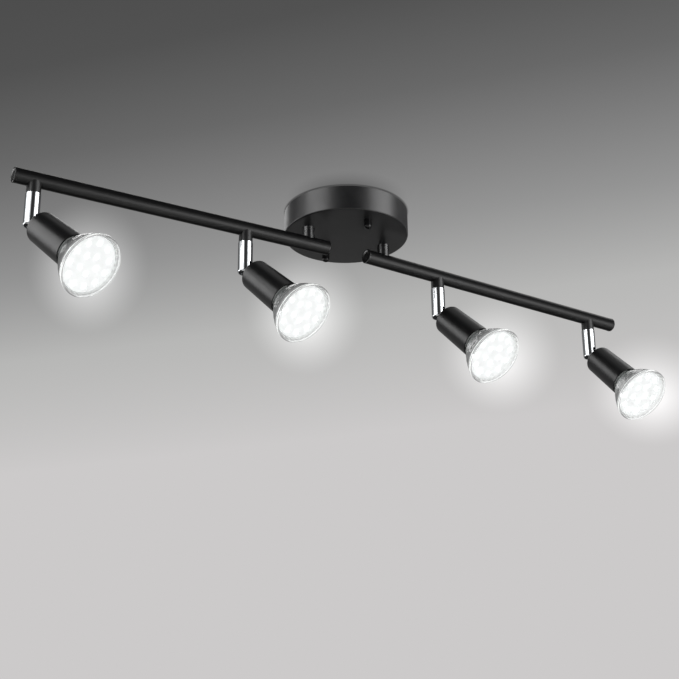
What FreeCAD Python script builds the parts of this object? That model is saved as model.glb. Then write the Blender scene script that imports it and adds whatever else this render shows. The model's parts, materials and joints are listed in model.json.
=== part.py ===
import FreeCAD, Part
import os
import Sketcher

# Four-lamp ceiling track light. A round canopy hangs from a bracket on the ceiling and carries two
# tubular arms. Each arm swings about a post under the canopy and carries two heads. A head is a
# chrome stem that swivels below the tube, a lamp holder that tilts on the stem, and a GU10 lamp.
# Millimetres and degrees. The origin is the canopy's centre on the ceiling, +Z up, arms along X.

SIZES = {
    # fits: radial play of turning pieces, axial play of turning faces, play of fixed pieces
    "running_play": 0.05,
    "face_play": 0.05,
    "fixed_play": 0.03,
    "hole_play": 0.2,
    # canopy
    "canopy_dia": 104.0,
    "canopy_depth": 21.0,
    "canopy_wall": 1.2,
    "canopy_edge_round": 1.1,
    # bracket, studs and cap nuts
    "bracket_end_gap": 4.8,
    "bracket_width": 24.0,
    "bracket_thickness": 2.0,
    "bracket_corner_round": 4.0,
    "entry_hole_dia": 10.0,
    "ceiling_slot_offset": 23.0,
    "ceiling_slot_length": 12.0,
    "ceiling_slot_width": 4.6,
    "stud_inset": 16.0,
    "stud_dia": 3.5,
    "stud_head_dia": 6.5,
    "stud_head_thickness": 1.0,
    "stud_grip": 6.0,
    "cap_nut_dia": 6.2,
    "cap_nut_length": 7.6,
    "cap_nut_dome": 2.0,
    # terminal block and earth screw
    "block_length": 28.0,
    "block_width": 15.0,
    "block_height": 11.0,
    "block_offset": 9.5,
    "block_pitch": 9.0,
    "block_wire_hole_dia": 3.2,
    "block_screw_hole_dia": 3.6,
    "block_screw_hole_depth": 3.0,
    "block_screw_spacing": 7.5,
    "earth_screw_x": 6.0,
    "earth_screw_y": -9.5,
    "earth_screw_dia": 4.0,
    "earth_head_dia": 7.6,
    "earth_head_height": 2.4,
    "screw_slot_width": 0.9,
    "screw_slot_depth": 0.9,
    # arm: tube, end caps and post
    "tube_drop": 14.3,
    "tube_dia": 12.0,
    "tube_wall": 0.8,
    "inner_overhang": 17.0,
    "stem_from_post": 57.5,
    "stem_spacing": 176.0,
    "left_outer_overhang": 15.5,
    "right_outer_overhang": 29.0,
    "end_cap_thickness": 1.0,
    "end_cap_rim": 0.15,
    "end_cap_plug_depth": 4.0,
    "post_inset": 16.0,
    "post_dia": 10.0,
    "nipple_dia": 6.0,
    "nipple_bore": 4.0,
    "nipple_grip": 5.5,
    "nipple_stand": 1.5,
    "pivot_nut_flange_dia": 14.0,
    "pivot_nut_flange": 1.2,
    "pivot_nut_width": 10.0,
    "pivot_nut_height": 5.0,
    # collar under the tube and the hollow bolt that the stem hangs on
    "collar_dia": 11.2,
    "collar_drop": 12.7,
    "spigot_dia": 8.0,
    "spigot_seat": 2.8,
    "bolt_dia": 6.0,
    "bolt_bore": 4.0,
    "bolt_grip": 6.0,
    "bolt_flange_dia": 8.2,
    "bolt_flange": 1.6,
    # wiring in the arm
    "wire_dia": 1.3,
    "wire_play": 0.1,
    "wire_bend": 2.2,
    "wire_tail": 3.0,
    "wire_in_stem": 5.0,
    # stem
    "stem_dia": 11.8,
    "stem_length": 27.0,
    "stem_bore": 4.0,
    "stem_end_round": 1.5,
    "stem_top_round": 0.3,
    "pivot_height": 6.0,
    "fork_play": 0.2,
    "pivot_screw_dia": 3.0,
    "pivot_screw_far_grip": 2.4,
    "pivot_screw_head_dia": 5.0,
    "pivot_screw_head": 1.3,
    "pivot_screw_cheek": 2.3,
    "pivot_screw_drive": 2.0,
    # knuckle between the stem and the lamp holder
    "tongue_thickness": 3.0,
    "tongue_height": 5.8,
    "knuckle_flange_dia": 8.0,
    "knuckle_flange": 1.2,
    "knuckle_stub_dia": 6.0,
    # lamp holder
    "holder_back": 12.5,
    "holder_length": 45.0,
    "holder_back_dia": 25.0,
    "holder_front_dia": 27.8,
    "holder_wall": 1.1,
    "holder_base": 1.6,
    "holder_back_round": 3.0,
    "holder_boss_dia": 10.0,
    "holder_boss": 4.5,
    # lamp socket
    "socket_play": 0.6,
    "socket_height": 13.9,
    "socket_edge": 0.8,
    "socket_lip": 3.0,
    "socket_well_depth": 8.0,
    # lamp
    "lamp_dia": 50.0,
    "lamp_length": 56.0,
    "pin_length": 6.6,
    "pin_spacing": 10.0,
    "pin_dia": 2.9,
    "pin_head_dia": 4.8,
    "pin_head": 2.0,
    "pin_slot_play": 0.25,
    "lock_angle": 30.0,
    "base_play": 0.1,
    "base_height": 15.0,
    "base_round": 1.2,
    "neck_dia": 21.6,
    "neck_wall": 0.9,
    "neck_overlap": 6.0,
    "neck_length": 15.0,
    "rim_height": 2.6,
    "rim_step": 0.6,
    "glass_wall": 1.3,
    "glass_curve": 78.0,
    "lens_recess": 0.6,
    "lens_thickness": 1.6,
    "lens_play": 0.1,
    "board_inset": 1.7,
    "board_thickness": 1.2,
    "led_width": 3.0,
    "led_height": 0.8,
    "outer_leds": 11.0,
    "outer_led_inset": 5.0,
    "inner_leds": 5.0,
    "led_ring_step": 9.5,
    # rest pose: each arm's swing, and each head's turn from -Y and tilt from straight down
    "left_arm_turn": 0.0,
    "right_arm_turn": 4.5,
    "head_1_turn": 30.0,
    "head_2_turn": 25.0,
    "head_3_turn": 17.0,
    "head_4_turn": 9.0,
    "head_1_tilt": 49.0,
    "head_2_tilt": 46.5,
    "head_3_tilt": 45.0,
    "head_4_tilt": 43.5,
}

doc = FreeCAD.newDocument("track_light")
sheet = doc.addObject("Spreadsheet::Sheet", "sizes")
for row, (name, number) in enumerate(SIZES.items(), start=1):
    sheet.set("A%d" % row, name)
    sheet.set("B%d" % row, str(number))
    sheet.setAlias("B%d" % row, name)
doc.recompute()


class Size:
    """A size worked out from the sheet: its formula, for setExpression, and its value."""

    def __init__(self, formula, value):
        self.formula = formula
        self.value = value

    def __float__(self):
        return self.value

    def __add__(self, other):
        return Size("(%s + %s)" % (self.formula, formula(other)), self.value + float(other))

    def __sub__(self, other):
        return Size("(%s - %s)" % (self.formula, formula(other)), self.value - float(other))

    def __mul__(self, other):
        return Size("(%s * %s)" % (self.formula, formula(other)), self.value * float(other))

    def __truediv__(self, other):
        return Size("(%s / %s)" % (self.formula, formula(other)), self.value / float(other))

    def __neg__(self):
        return Size("(0 - %s)" % self.formula, -self.value)


def formula(number):
    """The sheet formula of a size, or a plain number as text."""
    return number.formula if isinstance(number, Size) else repr(float(number))


def root(size):
    """The square root of a size."""
    return Size("sqrt(%s)" % size.formula, size.value ** 0.5)


class Sheet:
    """The sheet's cells as sizes, one attribute for each alias."""

    def __getattr__(self, name):
        return Size("sizes." + name, float(sheet.get(name)))


size = Sheet()
THREE = Size("3", 3.0)


# ---- drawing helpers ---------------------------------------------------------------------------

def new_body(label):
    """An empty body, which becomes one solid piece."""
    body = doc.addObject("PartDesign::Body", label)
    body.Label = label
    return body


def new_sketch(body, plane, height=None):
    """A sketch on one of the body's own origin planes, moved along the plane's normal by height."""
    sketch = body.newObject("Sketcher::SketchObject", body.Name + "_sketch")
    datum = next(item for item in body.Origin.OriginFeatures if item.Role == plane)
    sketch.AttachmentSupport = [(datum, "")]
    sketch.MapMode = "FlatFace"
    if height is not None:
        sketch.AttachmentOffset = FreeCAD.Placement(
            FreeCAD.Vector(0, 0, float(height)), FreeCAD.Rotation())
        sketch.setExpression("AttachmentOffset.Base.z", formula(height))
    return sketch


def hold(sketch, kind, size_value, *places):
    """One dimension of the sketch, tied to the sheet."""
    number = sketch.addConstraint(Sketcher.Constraint(kind, *places, float(size_value)))
    sketch.setExpression("Constraints[%d]" % number, formula(size_value))


def pin_point(sketch, edge, point, corner):
    """Fix a point of an edge at (x, y); a plain 0 puts it on the axis."""
    for kind, axis, place in (("DistanceX", -2, corner[0]), ("DistanceY", -1, corner[1])):
        if isinstance(place, Size):
            hold(sketch, kind, place, -1, 1, edge, point)
        else:
            sketch.addConstraint(Sketcher.Constraint("PointOnObject", edge, point, axis))


def arc_between(start, end, radius):
    """The short arc from start to end, bulging to the right of that direction, and its centre."""
    middle = (start + end) * 0.5
    chord = end - start
    left = FreeCAD.Vector(-chord.y, chord.x, 0).normalize()
    rise = (radius ** 2 - (chord.Length / 2) ** 2) ** 0.5
    centre = middle + left * rise
    crown = centre - left * radius
    return Part.Arc(start, crown, end)


def outline(sketch, corners, arcs=None):
    """A closed outline; arcs gives the radius of each curved edge, by the corner it starts at."""
    arcs = arcs or {}
    points = [FreeCAD.Vector(float(x), float(y), 0) for x, y in corners]
    first = sketch.GeometryCount
    count = len(points)
    for index, start in enumerate(points):
        end = points[(index + 1) % count]
        if index in arcs:
            sketch.addGeometry(arc_between(start, end, float(arcs[index])))
        else:
            sketch.addGeometry(Part.LineSegment(start, end))
    for index in range(count):
        following = first + (index + 1) % count
        sketch.addConstraint(Sketcher.Constraint("Coincident", first + index, 2, following, 1))
    for index, corner in enumerate(corners):
        pin_point(sketch, first + index, 1, corner)
    for index, radius in arcs.items():
        hold(sketch, "Radius", radius, first + index)


def circle(sketch, x, y, diameter):
    """A circle of the given diameter about (x, y)."""
    centre = FreeCAD.Vector(float(x), float(y), 0)
    edge = sketch.addGeometry(Part.Circle(centre, FreeCAD.Vector(0, 0, 1), float(diameter) / 2))
    pin_point(sketch, edge, 3, (x, y))
    hold(sketch, "Diameter", diameter, edge)


def hexagon(sketch, across_flats):
    """A hexagon about the origin with two corners on the sketch's x axis."""
    flat = across_flats / 2
    tip = across_flats / root(THREE)
    outline(sketch, [
        (tip, 0),
        (tip / 2, flat),
        (-tip / 2, flat),
        (-tip, 0),
        (-tip / 2, -flat),
        (tip / 2, -flat),
    ])


def slot(sketch, start, end, width):
    """A slot with round ends about start and end, which lie on one line along the sketch's y."""
    half = float(width) / 2
    low = FreeCAD.Vector(float(start[0]), float(start[1]), 0)
    high = FreeCAD.Vector(float(end[0]), float(end[1]), 0)
    side = FreeCAD.Vector(half, 0, 0)
    up = FreeCAD.Vector(0, half, 0)
    first = sketch.GeometryCount
    sketch.addGeometry(Part.LineSegment(low + side, high + side))
    sketch.addGeometry(Part.Arc(high + side, high + up, high - side))
    sketch.addGeometry(Part.LineSegment(high - side, low - side))
    sketch.addGeometry(Part.Arc(low - side, low - up, low + side))
    for index in range(4):
        following = first + (index + 1) % 4
        sketch.addConstraint(Sketcher.Constraint("Tangent", first + index, 2, following, 1))
    sketch.addConstraint(Sketcher.Constraint("Equal", first + 1, first + 3))
    pin_point(sketch, first + 1, 3, end)
    pin_point(sketch, first + 3, 3, start)
    hold(sketch, "Radius", width / 2, first + 1)


def turn(body, corners, arcs=None, axis="V_Axis", plane="XZ_Plane"):
    """Turn an outline about the sketch's own axis into a round solid."""
    sketch = new_sketch(body, plane)
    outline(sketch, corners, arcs)
    feature = body.newObject("PartDesign::Revolution", body.Name + "_turn")
    feature.Profile = sketch
    feature.ReferenceAxis = (sketch, [axis])
    feature.Angle = 360
    return feature


def groove(body, corners, angle):
    """Cut an outline out while it turns by an angle about the body's Z axis."""
    sketch = new_sketch(body, "XZ_Plane")
    outline(sketch, corners)
    feature = body.newObject("PartDesign::Groove", body.Name + "_groove")
    feature.Profile = sketch
    feature.ReferenceAxis = (sketch, ["V_Axis"])
    feature.Angle = float(angle)
    feature.setExpression("Angle", formula(angle))


def pad(body, sketch, length, both_ways=False):
    """Raise a sketch along its normal, or half of the length each way."""
    feature = body.newObject("PartDesign::Pad", body.Name + "_pad")
    feature.Profile = sketch
    feature.Midplane = both_ways
    feature.Length = float(length)
    feature.setExpression("Length", formula(length))
    return feature


def repeat_round(body, feature, sketch, count):
    """Repeat a feature evenly all round its sketch's own normal at the origin."""
    pattern = body.newObject("PartDesign::PolarPattern", body.Name + "_ring")
    pattern.Originals = [feature]
    pattern.Axis = (sketch, ["N_Axis"])
    pattern.Angle = 360
    pattern.Occurrences = int(float(count))
    pattern.setExpression("Occurrences", formula(count))
    body.Tip = pattern


def cut(body, sketch, depth, along_normal=False, both_ways=False):
    """Cut a sketch out against its normal, along it, or half of the depth each way."""
    feature = body.newObject("PartDesign::Pocket", body.Name + "_cut")
    feature.Profile = sketch
    feature.Midplane = both_ways
    feature.Reversed = along_normal
    feature.Length = float(depth)
    feature.setExpression("Length", formula(depth))


def bore(body, x, y, diameter, top, depth, plane="XY_Plane"):
    """Cut a round hole that starts at top, along the plane's normal, and goes down by depth."""
    sketch = new_sketch(body, plane, top)
    circle(sketch, x, y, diameter)
    cut(body, sketch, depth)


def round_edges(body, radius, chosen):
    """Round the edges of the body that the chosen test picks."""
    doc.recompute()
    base = body.Tip
    names = ["Edge%d" % number for number, edge in enumerate(base.Shape.Edges, start=1) if chosen(edge)]
    feature = body.newObject("PartDesign::Fillet", body.Name + "_round")
    feature.Base = (base, names)
    feature.Radius = float(radius)
    feature.setExpression("Radius", formula(radius))


def ring_at(z, diameter):
    """A test for a full round edge about the Z axis at the given height and diameter."""
    def chosen(edge):
        box = edge.BoundBox
        flat = abs(box.ZMin - float(z)) < 0.01 and abs(box.ZMax - float(z)) < 0.01
        return flat and abs(box.XLength - float(diameter)) < 0.02
    return chosen


def group(label, bodies):
    """Several like solids as one node."""
    compound = doc.addObject("Part::Compound", label)
    compound.Label = label
    compound.Links = bodies
    return compound


# ---- places ------------------------------------------------------------------------------------

def place(x=0, y=0, z=0, rotation=None):
    """A placement from sizes or plain numbers."""
    return FreeCAD.Placement(
        FreeCAD.Vector(float(x), float(y), float(z)), rotation or FreeCAD.Rotation())


def about(x, y, z, angle):
    """A rotation about an axis by an angle in degrees."""
    return FreeCAD.Rotation(FreeCAD.Vector(x, y, z), float(angle))


canopy_radius = size.canopy_dia / 2
canopy_floor = size.canopy_wall - size.canopy_depth
post_offset = canopy_radius - size.post_inset
stud_offset = canopy_radius - size.stud_inset
tube_axis = -(size.canopy_depth + size.tube_drop)
tube_radius = size.tube_dia / 2
tube_inner_radius = tube_radius - size.tube_wall
nut_seat = size.tube_drop + size.canopy_wall + size.face_play
stem_top = size.stem_length - size.pivot_height
fork_slot = size.tongue_thickness + size.fork_play * 2
pivot_drop = size.collar_drop + size.face_play + stem_top
socket_back = size.holder_back + size.holder_base + size.holder_boss
lamp_shoulder = socket_back + size.socket_height + size.face_play
lamp_front = lamp_shoulder + size.lamp_length - size.pin_length
lamp_rim_back = lamp_front - size.rim_height
lamp_rim_inside = size.lamp_dia / 2 - size.glass_wall
neck_inside = size.neck_dia / 2 - size.neck_wall
neck_top = lamp_shoulder + size.base_height - size.neck_overlap + size.neck_length

nodes = []


# ---- canopy and what hangs it ------------------------------------------------------------------

def make_canopy_shell():
    """Drawn steel cup, open to the ceiling, with holes for the arm nipples and the studs."""
    body = new_body("canopy_shell")
    turn(body, [
        (0, -size.canopy_depth),
        (canopy_radius, -size.canopy_depth),
        (canopy_radius, 0),
        (canopy_radius - size.canopy_wall, 0),
        (canopy_radius - size.canopy_wall, canopy_floor),
        (0, canopy_floor),
    ])
    round_edges(body, size.canopy_edge_round, ring_at(-size.canopy_depth, size.canopy_dia))
    holes = new_sketch(body, "XY_Plane", canopy_floor)
    nipple_hole = size.nipple_dia + size.running_play * 2
    stud_hole = size.stud_dia + size.hole_play * 2
    circle(holes, post_offset, 0, nipple_hole)
    circle(holes, -post_offset, 0, nipple_hole)
    circle(holes, 0, stud_offset, stud_hole)
    circle(holes, 0, -stud_offset, stud_hole)
    cut(body, holes, size.canopy_wall)
    nodes.append(body)


def make_mounting_bracket():
    """Steel strap screwed to the ceiling through two slots, with holes for studs, earth and cable."""
    body = new_body("mounting_bracket")
    plate = new_sketch(body, "XY_Plane", -size.bracket_thickness)
    half_width = size.bracket_width / 2
    half_length = canopy_radius - size.canopy_wall - size.bracket_end_gap
    outline(plate, [
        (-half_width, -half_length),
        (half_width, -half_length),
        (half_width, half_length),
        (-half_width, half_length),
    ])
    pad(body, plate, size.bracket_thickness)
    round_edges(body, size.bracket_corner_round, lambda edge: edge.BoundBox.ZLength > 0.1)
    holes = new_sketch(body, "XY_Plane", 0)
    slot_reach = (size.ceiling_slot_length - size.ceiling_slot_width) / 2
    circle(holes, 0, 0, size.entry_hole_dia)
    circle(holes, size.earth_screw_x, size.earth_screw_y, size.earth_screw_dia + size.fixed_play * 2)
    for side in (1, -1):
        stud_y = stud_offset * side
        middle = size.ceiling_slot_offset * side
        circle(holes, 0, stud_y, size.stud_dia + size.fixed_play * 2)
        slot(holes, (0, middle - slot_reach), (0, middle + slot_reach), size.ceiling_slot_width)
    cut(body, holes, size.bracket_thickness)
    for side in (1, -1):
        head_hole = size.stud_head_dia + size.fixed_play * 2
        bore(body, 0, stud_offset * side, head_hole, 0, size.stud_head_thickness)
    nodes.append(body)


def make_canopy_studs():
    """Two studs whose heads lie flush in the bracket and whose ends stand out of the canopy."""
    studs = []
    head_radius = size.stud_head_dia / 2
    stud_radius = size.stud_dia / 2
    stud_end = -(size.canopy_depth + size.stud_grip)
    for side in (1, -1):
        body = new_body("canopy_stud_%s" % ("back" if side > 0 else "front"))
        turn(body, [
            (0, -size.fixed_play),
            (head_radius, -size.fixed_play),
            (head_radius, -size.stud_head_thickness),
            (stud_radius, -size.stud_head_thickness),
            (stud_radius, stud_end),
            (0, stud_end),
        ])
        body.Placement = place(y=stud_offset * side)
        studs.append(body)
    nodes.append(group("canopy_studs", studs))


def make_cap_nuts():
    """Two round cap nuts that hold the canopy up against the ceiling."""
    nuts = []
    nut_radius = size.cap_nut_dia / 2
    nut_end = -(size.canopy_depth + size.cap_nut_length)
    for side in (1, -1):
        body = new_body("cap_nut_%s" % ("back" if side > 0 else "front"))
        turn(body, [
            (0, -size.canopy_depth),
            (nut_radius, -size.canopy_depth),
            (nut_radius, nut_end),
            (0, nut_end),
        ])
        round_edges(body, size.cap_nut_dome, ring_at(nut_end, size.cap_nut_dia))
        hole = size.stud_dia + size.fixed_play * 2
        bore(body, 0, 0, hole, -size.canopy_depth, size.stud_grip + size.hole_play)
        body.Placement = place(y=stud_offset * side)
        nuts.append(body)
    nodes.append(group("cap_nuts", nuts))


def make_terminal_block():
    """Three-pole block on the canopy's floor, with wire holes through it and a screw over each end."""
    body = new_body("terminal_block")
    foot = new_sketch(body, "XY_Plane", canopy_floor)
    half_length = size.block_length / 2
    half_width = size.block_width / 2
    outline(foot, [
        (-half_length, -half_width),
        (half_length, -half_width),
        (half_length, half_width),
        (-half_length, half_width),
    ])
    pad(body, foot, size.block_height)
    screws = new_sketch(body, "XY_Plane", canopy_floor + size.block_height)
    wires = new_sketch(body, "XZ_Plane")
    wire_height = canopy_floor + size.block_height / 2
    for pole in (-1, 0, 1):
        x = size.block_pitch * pole if pole else 0
        circle(wires, x, wire_height, size.block_wire_hole_dia)
        for end in (-0.5, 0.5):
            circle(screws, x, size.block_screw_spacing * end, size.block_screw_hole_dia)
    cut(body, screws, size.block_screw_hole_depth)
    cut(body, wires, size.block_width, both_ways=True)
    body.Placement = place(y=size.block_offset)
    nodes.append(body)


def make_earth_screw():
    """Pan head screw in the bracket, head down, for the earth wire."""
    body = new_body("earth_screw")
    shank_radius = size.earth_screw_dia / 2
    head_radius = size.earth_head_dia / 2
    head_end = -(size.bracket_thickness + size.earth_head_height)
    turn(body, [
        (0, -size.fixed_play),
        (shank_radius, -size.fixed_play),
        (shank_radius, -size.bracket_thickness),
        (head_radius, -size.bracket_thickness),
        (head_radius, head_end),
        (0, head_end),
    ])
    drive = new_sketch(body, "XY_Plane", head_end)
    slot_end = head_radius + size.screw_slot_width
    slot_half = size.screw_slot_width / 2
    outline(drive, [
        (-slot_end, -slot_half),
        (slot_end, -slot_half),
        (slot_end, slot_half),
        (-slot_end, slot_half),
    ])
    cut(body, drive, size.screw_slot_depth, along_normal=True)
    body.Placement = place(size.earth_screw_x, size.earth_screw_y)
    nodes.append(body)


# ---- arms --------------------------------------------------------------------------------------
# An arm's own frame has its origin on the tube's axis under the post, with X along the tube outwards.

def tube_length(outer_overhang):
    """The length of an arm's tube, from the overhangs and the stems' places."""
    return size.inner_overhang + size.stem_from_post + size.stem_spacing + outer_overhang


def stem_places():
    """How far along the arm the inner and the outer stem hang."""
    return size.stem_from_post, size.stem_from_post + size.stem_spacing


def make_tube(side, frame, outer_overhang):
    """Steel tube with a wire hole under the post and a hole over each stem for the collar's spigot."""
    body = new_body("arm_%s_tube" % side)
    section = new_sketch(body, "YZ_Plane", -size.inner_overhang)
    circle(section, 0, 0, size.tube_dia)
    circle(section, 0, 0, tube_inner_radius * 2)
    pad(body, section, tube_length(outer_overhang))
    bore(body, 0, 0, size.nipple_bore, tube_radius, tube_radius)
    for along in stem_places():
        bore(body, along, 0, size.spigot_dia + size.fixed_play * 2, 0, tube_radius)
    body.Placement = frame
    nodes.append(body)


def make_end_caps(side, frame, outer_overhang):
    """A flat cap pushed into each end of the tube, with a rim just over the tube's own width."""
    caps = []
    rim_radius = tube_radius + size.end_cap_rim
    plug_radius = tube_inner_radius - size.fixed_play
    length = tube_length(outer_overhang)
    ends = (
        ("inner", -size.inner_overhang, 180),
        ("outer", length - size.inner_overhang, 0),
    )
    for end, start, flip in ends:
        body = new_body("arm_%s_%s_end_cap" % (side, end))
        turn(body, [
            (0, size.end_cap_thickness),
            (rim_radius, size.end_cap_thickness),
            (rim_radius, 0),
            (plug_radius, 0),
            (plug_radius, -size.end_cap_plug_depth),
            (0, -size.end_cap_plug_depth),
        ])
        body.Placement = frame * place(start, rotation=about(0, 0, 1, flip) * about(0, 1, 0, 90))
        caps.append(body)
    nodes.append(group("arm_%s_end_caps" % side, caps))


def saddle(body, length):
    """Cut away what would lie in the tube, so that the piece sits on it like a saddle."""
    sketch = new_sketch(body, "YZ_Plane")
    circle(sketch, 0, 0, size.tube_dia + size.fixed_play * 2)
    cut(body, sketch, length, both_ways=True)


def make_post(side, frame):
    """Round post between the canopy's underside and the tube, tapped for the nipple."""
    body = new_body("arm_%s_post" % side)
    post_radius = size.post_dia / 2
    thread_radius = size.nipple_dia / 2 + size.fixed_play
    wire_radius = size.nipple_bore / 2
    post_top = size.tube_drop - size.face_play
    thread_end = post_top - size.nipple_grip
    turn(body, [
        (wire_radius, 0),
        (post_radius, 0),
        (post_radius, post_top),
        (thread_radius, post_top),
        (thread_radius, thread_end),
        (wire_radius, thread_end),
    ])
    saddle(body, size.post_dia * 2)
    body.Placement = frame
    nodes.append(body)


def make_nipple(side, frame):
    """Hollow threaded pivot: fixed in the post, it turns in the canopy and carries the wires."""
    body = new_body("arm_%s_nipple" % side)
    low = size.tube_drop - size.face_play - size.nipple_grip + size.fixed_play
    high = nut_seat + size.pivot_nut_flange + size.pivot_nut_height + size.nipple_stand
    outer = size.nipple_dia / 2
    inner = size.nipple_bore / 2
    turn(body, [(inner, low), (outer, low), (outer, high), (inner, high)])
    body.Placement = frame
    nodes.append(body)


def make_pivot_nut(side, frame):
    """Flanged hexagon nut on the nipple, which hangs the arm on the canopy's floor."""
    body = new_body("arm_%s_pivot_nut" % side)
    flange = new_sketch(body, "XY_Plane", nut_seat)
    circle(flange, 0, 0, size.pivot_nut_flange_dia)
    pad(body, flange, size.pivot_nut_flange)
    nut = new_sketch(body, "XY_Plane", nut_seat + size.pivot_nut_flange)
    hexagon(nut, size.pivot_nut_width)
    pad(body, nut, size.pivot_nut_height)
    height = size.pivot_nut_flange + size.pivot_nut_height
    bore(body, 0, 0, size.nipple_dia + size.fixed_play * 2, nut_seat + height, height)
    body.Placement = frame
    nodes.append(body)


def make_collars(side, frame):
    """Two collars under the tube; each has a spigot through the tube's wall and a bore for the bolt."""
    collars = []
    collar_radius = size.collar_dia / 2
    for end, along in zip(("inner", "outer"), stem_places()):
        body = new_body("arm_%s_%s_collar" % (side, end))
        turn(body, [
            (0, -size.collar_drop),
            (collar_radius, -size.collar_drop),
            (collar_radius, -size.spigot_seat),
            (0, -size.spigot_seat),
        ])
        saddle(body, size.collar_dia * 2)
        spigot = new_sketch(body, "XY_Plane", -size.collar_drop)
        circle(spigot, 0, 0, size.spigot_dia)
        pad(body, spigot, size.collar_drop - size.spigot_seat)
        depth = size.collar_drop - size.spigot_seat
        bore(body, 0, 0, size.bolt_dia + size.running_play * 2, -size.spigot_seat, depth)
        body.Placement = frame * place(along)
        collars.append(body)
    nodes.append(group("arm_%s_collars" % side, collars))


def make_wire(label, frame, lead, level, along):
    """Twin wire: down the nipple at x = lead, along the tube at a level, down into a stem."""
    body = new_body(label)
    nipple_top = nut_seat + size.pivot_nut_flange + size.pivot_nut_height + size.nipple_stand
    top = nipple_top + size.wire_tail
    low = -(size.collar_drop + size.wire_in_stem)
    bend = size.wire_bend
    corners = [(lead, top), (lead, level), (along, level), (along, low)]
    start, first, second, end = [FreeCAD.Vector(float(x), float(y), 0) for x, y in corners]
    radius = float(bend)
    down = FreeCAD.Vector(0, -radius, 0)
    out = FreeCAD.Vector(radius, 0, 0)
    lean = radius * (1 - 0.5 ** 0.5)
    route = new_sketch(body, "XZ_Plane")
    route.addGeometry(Part.LineSegment(start, first - down))
    route.addGeometry(Part.Arc(first - down, first + FreeCAD.Vector(lean, lean, 0), first + out))
    route.addGeometry(Part.LineSegment(first + out, second - out))
    route.addGeometry(Part.Arc(second - out, second + FreeCAD.Vector(-lean, -lean, 0), second + down))
    route.addGeometry(Part.LineSegment(second + down, end))
    ends = ((0, 2, 1, 1), (1, 2, 2, 1), (2, 2, 3, 2), (3, 1, 4, 1))
    for edge, point, following, start_point in ends:
        route.addConstraint(Sketcher.Constraint("Tangent", edge, point, following, start_point))
    route.addConstraint(Sketcher.Constraint("Vertical", 0))
    route.addConstraint(Sketcher.Constraint("Horizontal", 2))
    route.addConstraint(Sketcher.Constraint("Vertical", 4))
    pin_point(route, 0, 1, corners[0])
    pin_point(route, 4, 2, corners[3])
    hold(route, "DistanceY", level, -1, 1, 2, 1)
    hold(route, "Radius", bend, 1)
    hold(route, "Radius", bend, 3)
    section = new_sketch(body, "XY_Plane", top)
    slot(section, (lead, -size.wire_dia / 2), (lead, size.wire_dia / 2), size.wire_dia)
    pipe = body.newObject("PartDesign::AdditivePipe", label + "_pipe")
    pipe.Profile = section
    pipe.Spine = route
    body.Placement = frame
    return body


def make_wires(side, frame):
    """The inner head's twin wire along the bolt flanges and the outer head's twin wire above it."""
    inner, outer = stem_places()
    half = size.wire_dia / 2
    level = size.bolt_flange - size.spigot_seat + size.face_play + size.wire_play + half
    lead = half + size.fixed_play
    upper = level + size.wire_dia + size.wire_play
    nodes.append(group("arm_%s_wires" % side, [
        make_wire("arm_%s_inner_wire" % side, frame, -lead, level, inner),
        make_wire("arm_%s_outer_wire" % side, frame, lead, upper, outer),
    ]))


# ---- heads -------------------------------------------------------------------------------------
# A stem's frame has its origin on the tilt pivot, +Z up the stem, and the head leaves along -Y. A
# head's frame has the same origin and X, and +Z along the head towards the lamp's face.

def make_swivel_bolt(number, frame):
    """Hollow bolt in the stem's top; its flange rests on the collar's spigot inside the tube."""
    body = new_body("head_%d_swivel_bolt" % number)
    outer = size.bolt_dia / 2
    inner = size.bolt_bore / 2
    flange_radius = size.bolt_flange_dia / 2
    low = stem_top - size.bolt_grip + size.fixed_play
    seat = pivot_drop - size.spigot_seat + size.face_play
    top = seat + size.bolt_flange
    turn(body, [
        (inner, low),
        (outer, low),
        (outer, seat),
        (flange_radius, seat),
        (flange_radius, top),
        (inner, top),
    ])
    body.Placement = frame
    nodes.append(body)


def make_stem(number, frame):
    """Chrome-plated stem: bored for the wires, tapped on top, forked below for the knuckle."""
    body = new_body("head_%d_stem" % number)
    stem_radius = size.stem_dia / 2
    bore_radius = size.stem_bore / 2
    thread_radius = size.bolt_dia / 2 + size.fixed_play
    thread_end = stem_top - size.bolt_grip
    tongue_half = size.tongue_height / 2 + size.fork_play
    turn(body, [
        (0, -size.pivot_height),
        (stem_radius, -size.pivot_height),
        (stem_radius, stem_top),
        (thread_radius, stem_top),
        (thread_radius, thread_end),
        (bore_radius, thread_end),
        (bore_radius, tongue_half),
        (0, tongue_half),
    ])
    round_edges(body, size.stem_end_round, ring_at(-size.pivot_height, size.stem_dia))
    round_edges(body, size.stem_top_round, ring_at(stem_top, size.stem_dia))
    fork = new_sketch(body, "YZ_Plane")
    reach = size.stem_dia
    outline(fork, [
        (-reach, -reach),
        (tongue_half, -reach),
        (tongue_half, tongue_half),
        (-reach, tongue_half),
    ])
    cut(body, fork, fork_slot, both_ways=True)
    head_seat = fork_slot / 2 + size.pivot_screw_cheek
    far_end = -(fork_slot / 2 + size.pivot_screw_far_grip)
    screw_hole = size.pivot_screw_dia + size.fixed_play * 2
    head_hole = size.pivot_screw_head_dia + size.fixed_play * 2
    bore(body, 0, 0, screw_hole, head_seat, head_seat - far_end, plane="YZ_Plane")
    bore(body, 0, 0, head_hole, reach, reach - head_seat, plane="YZ_Plane")
    body.Placement = frame
    nodes.append(body)


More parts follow.
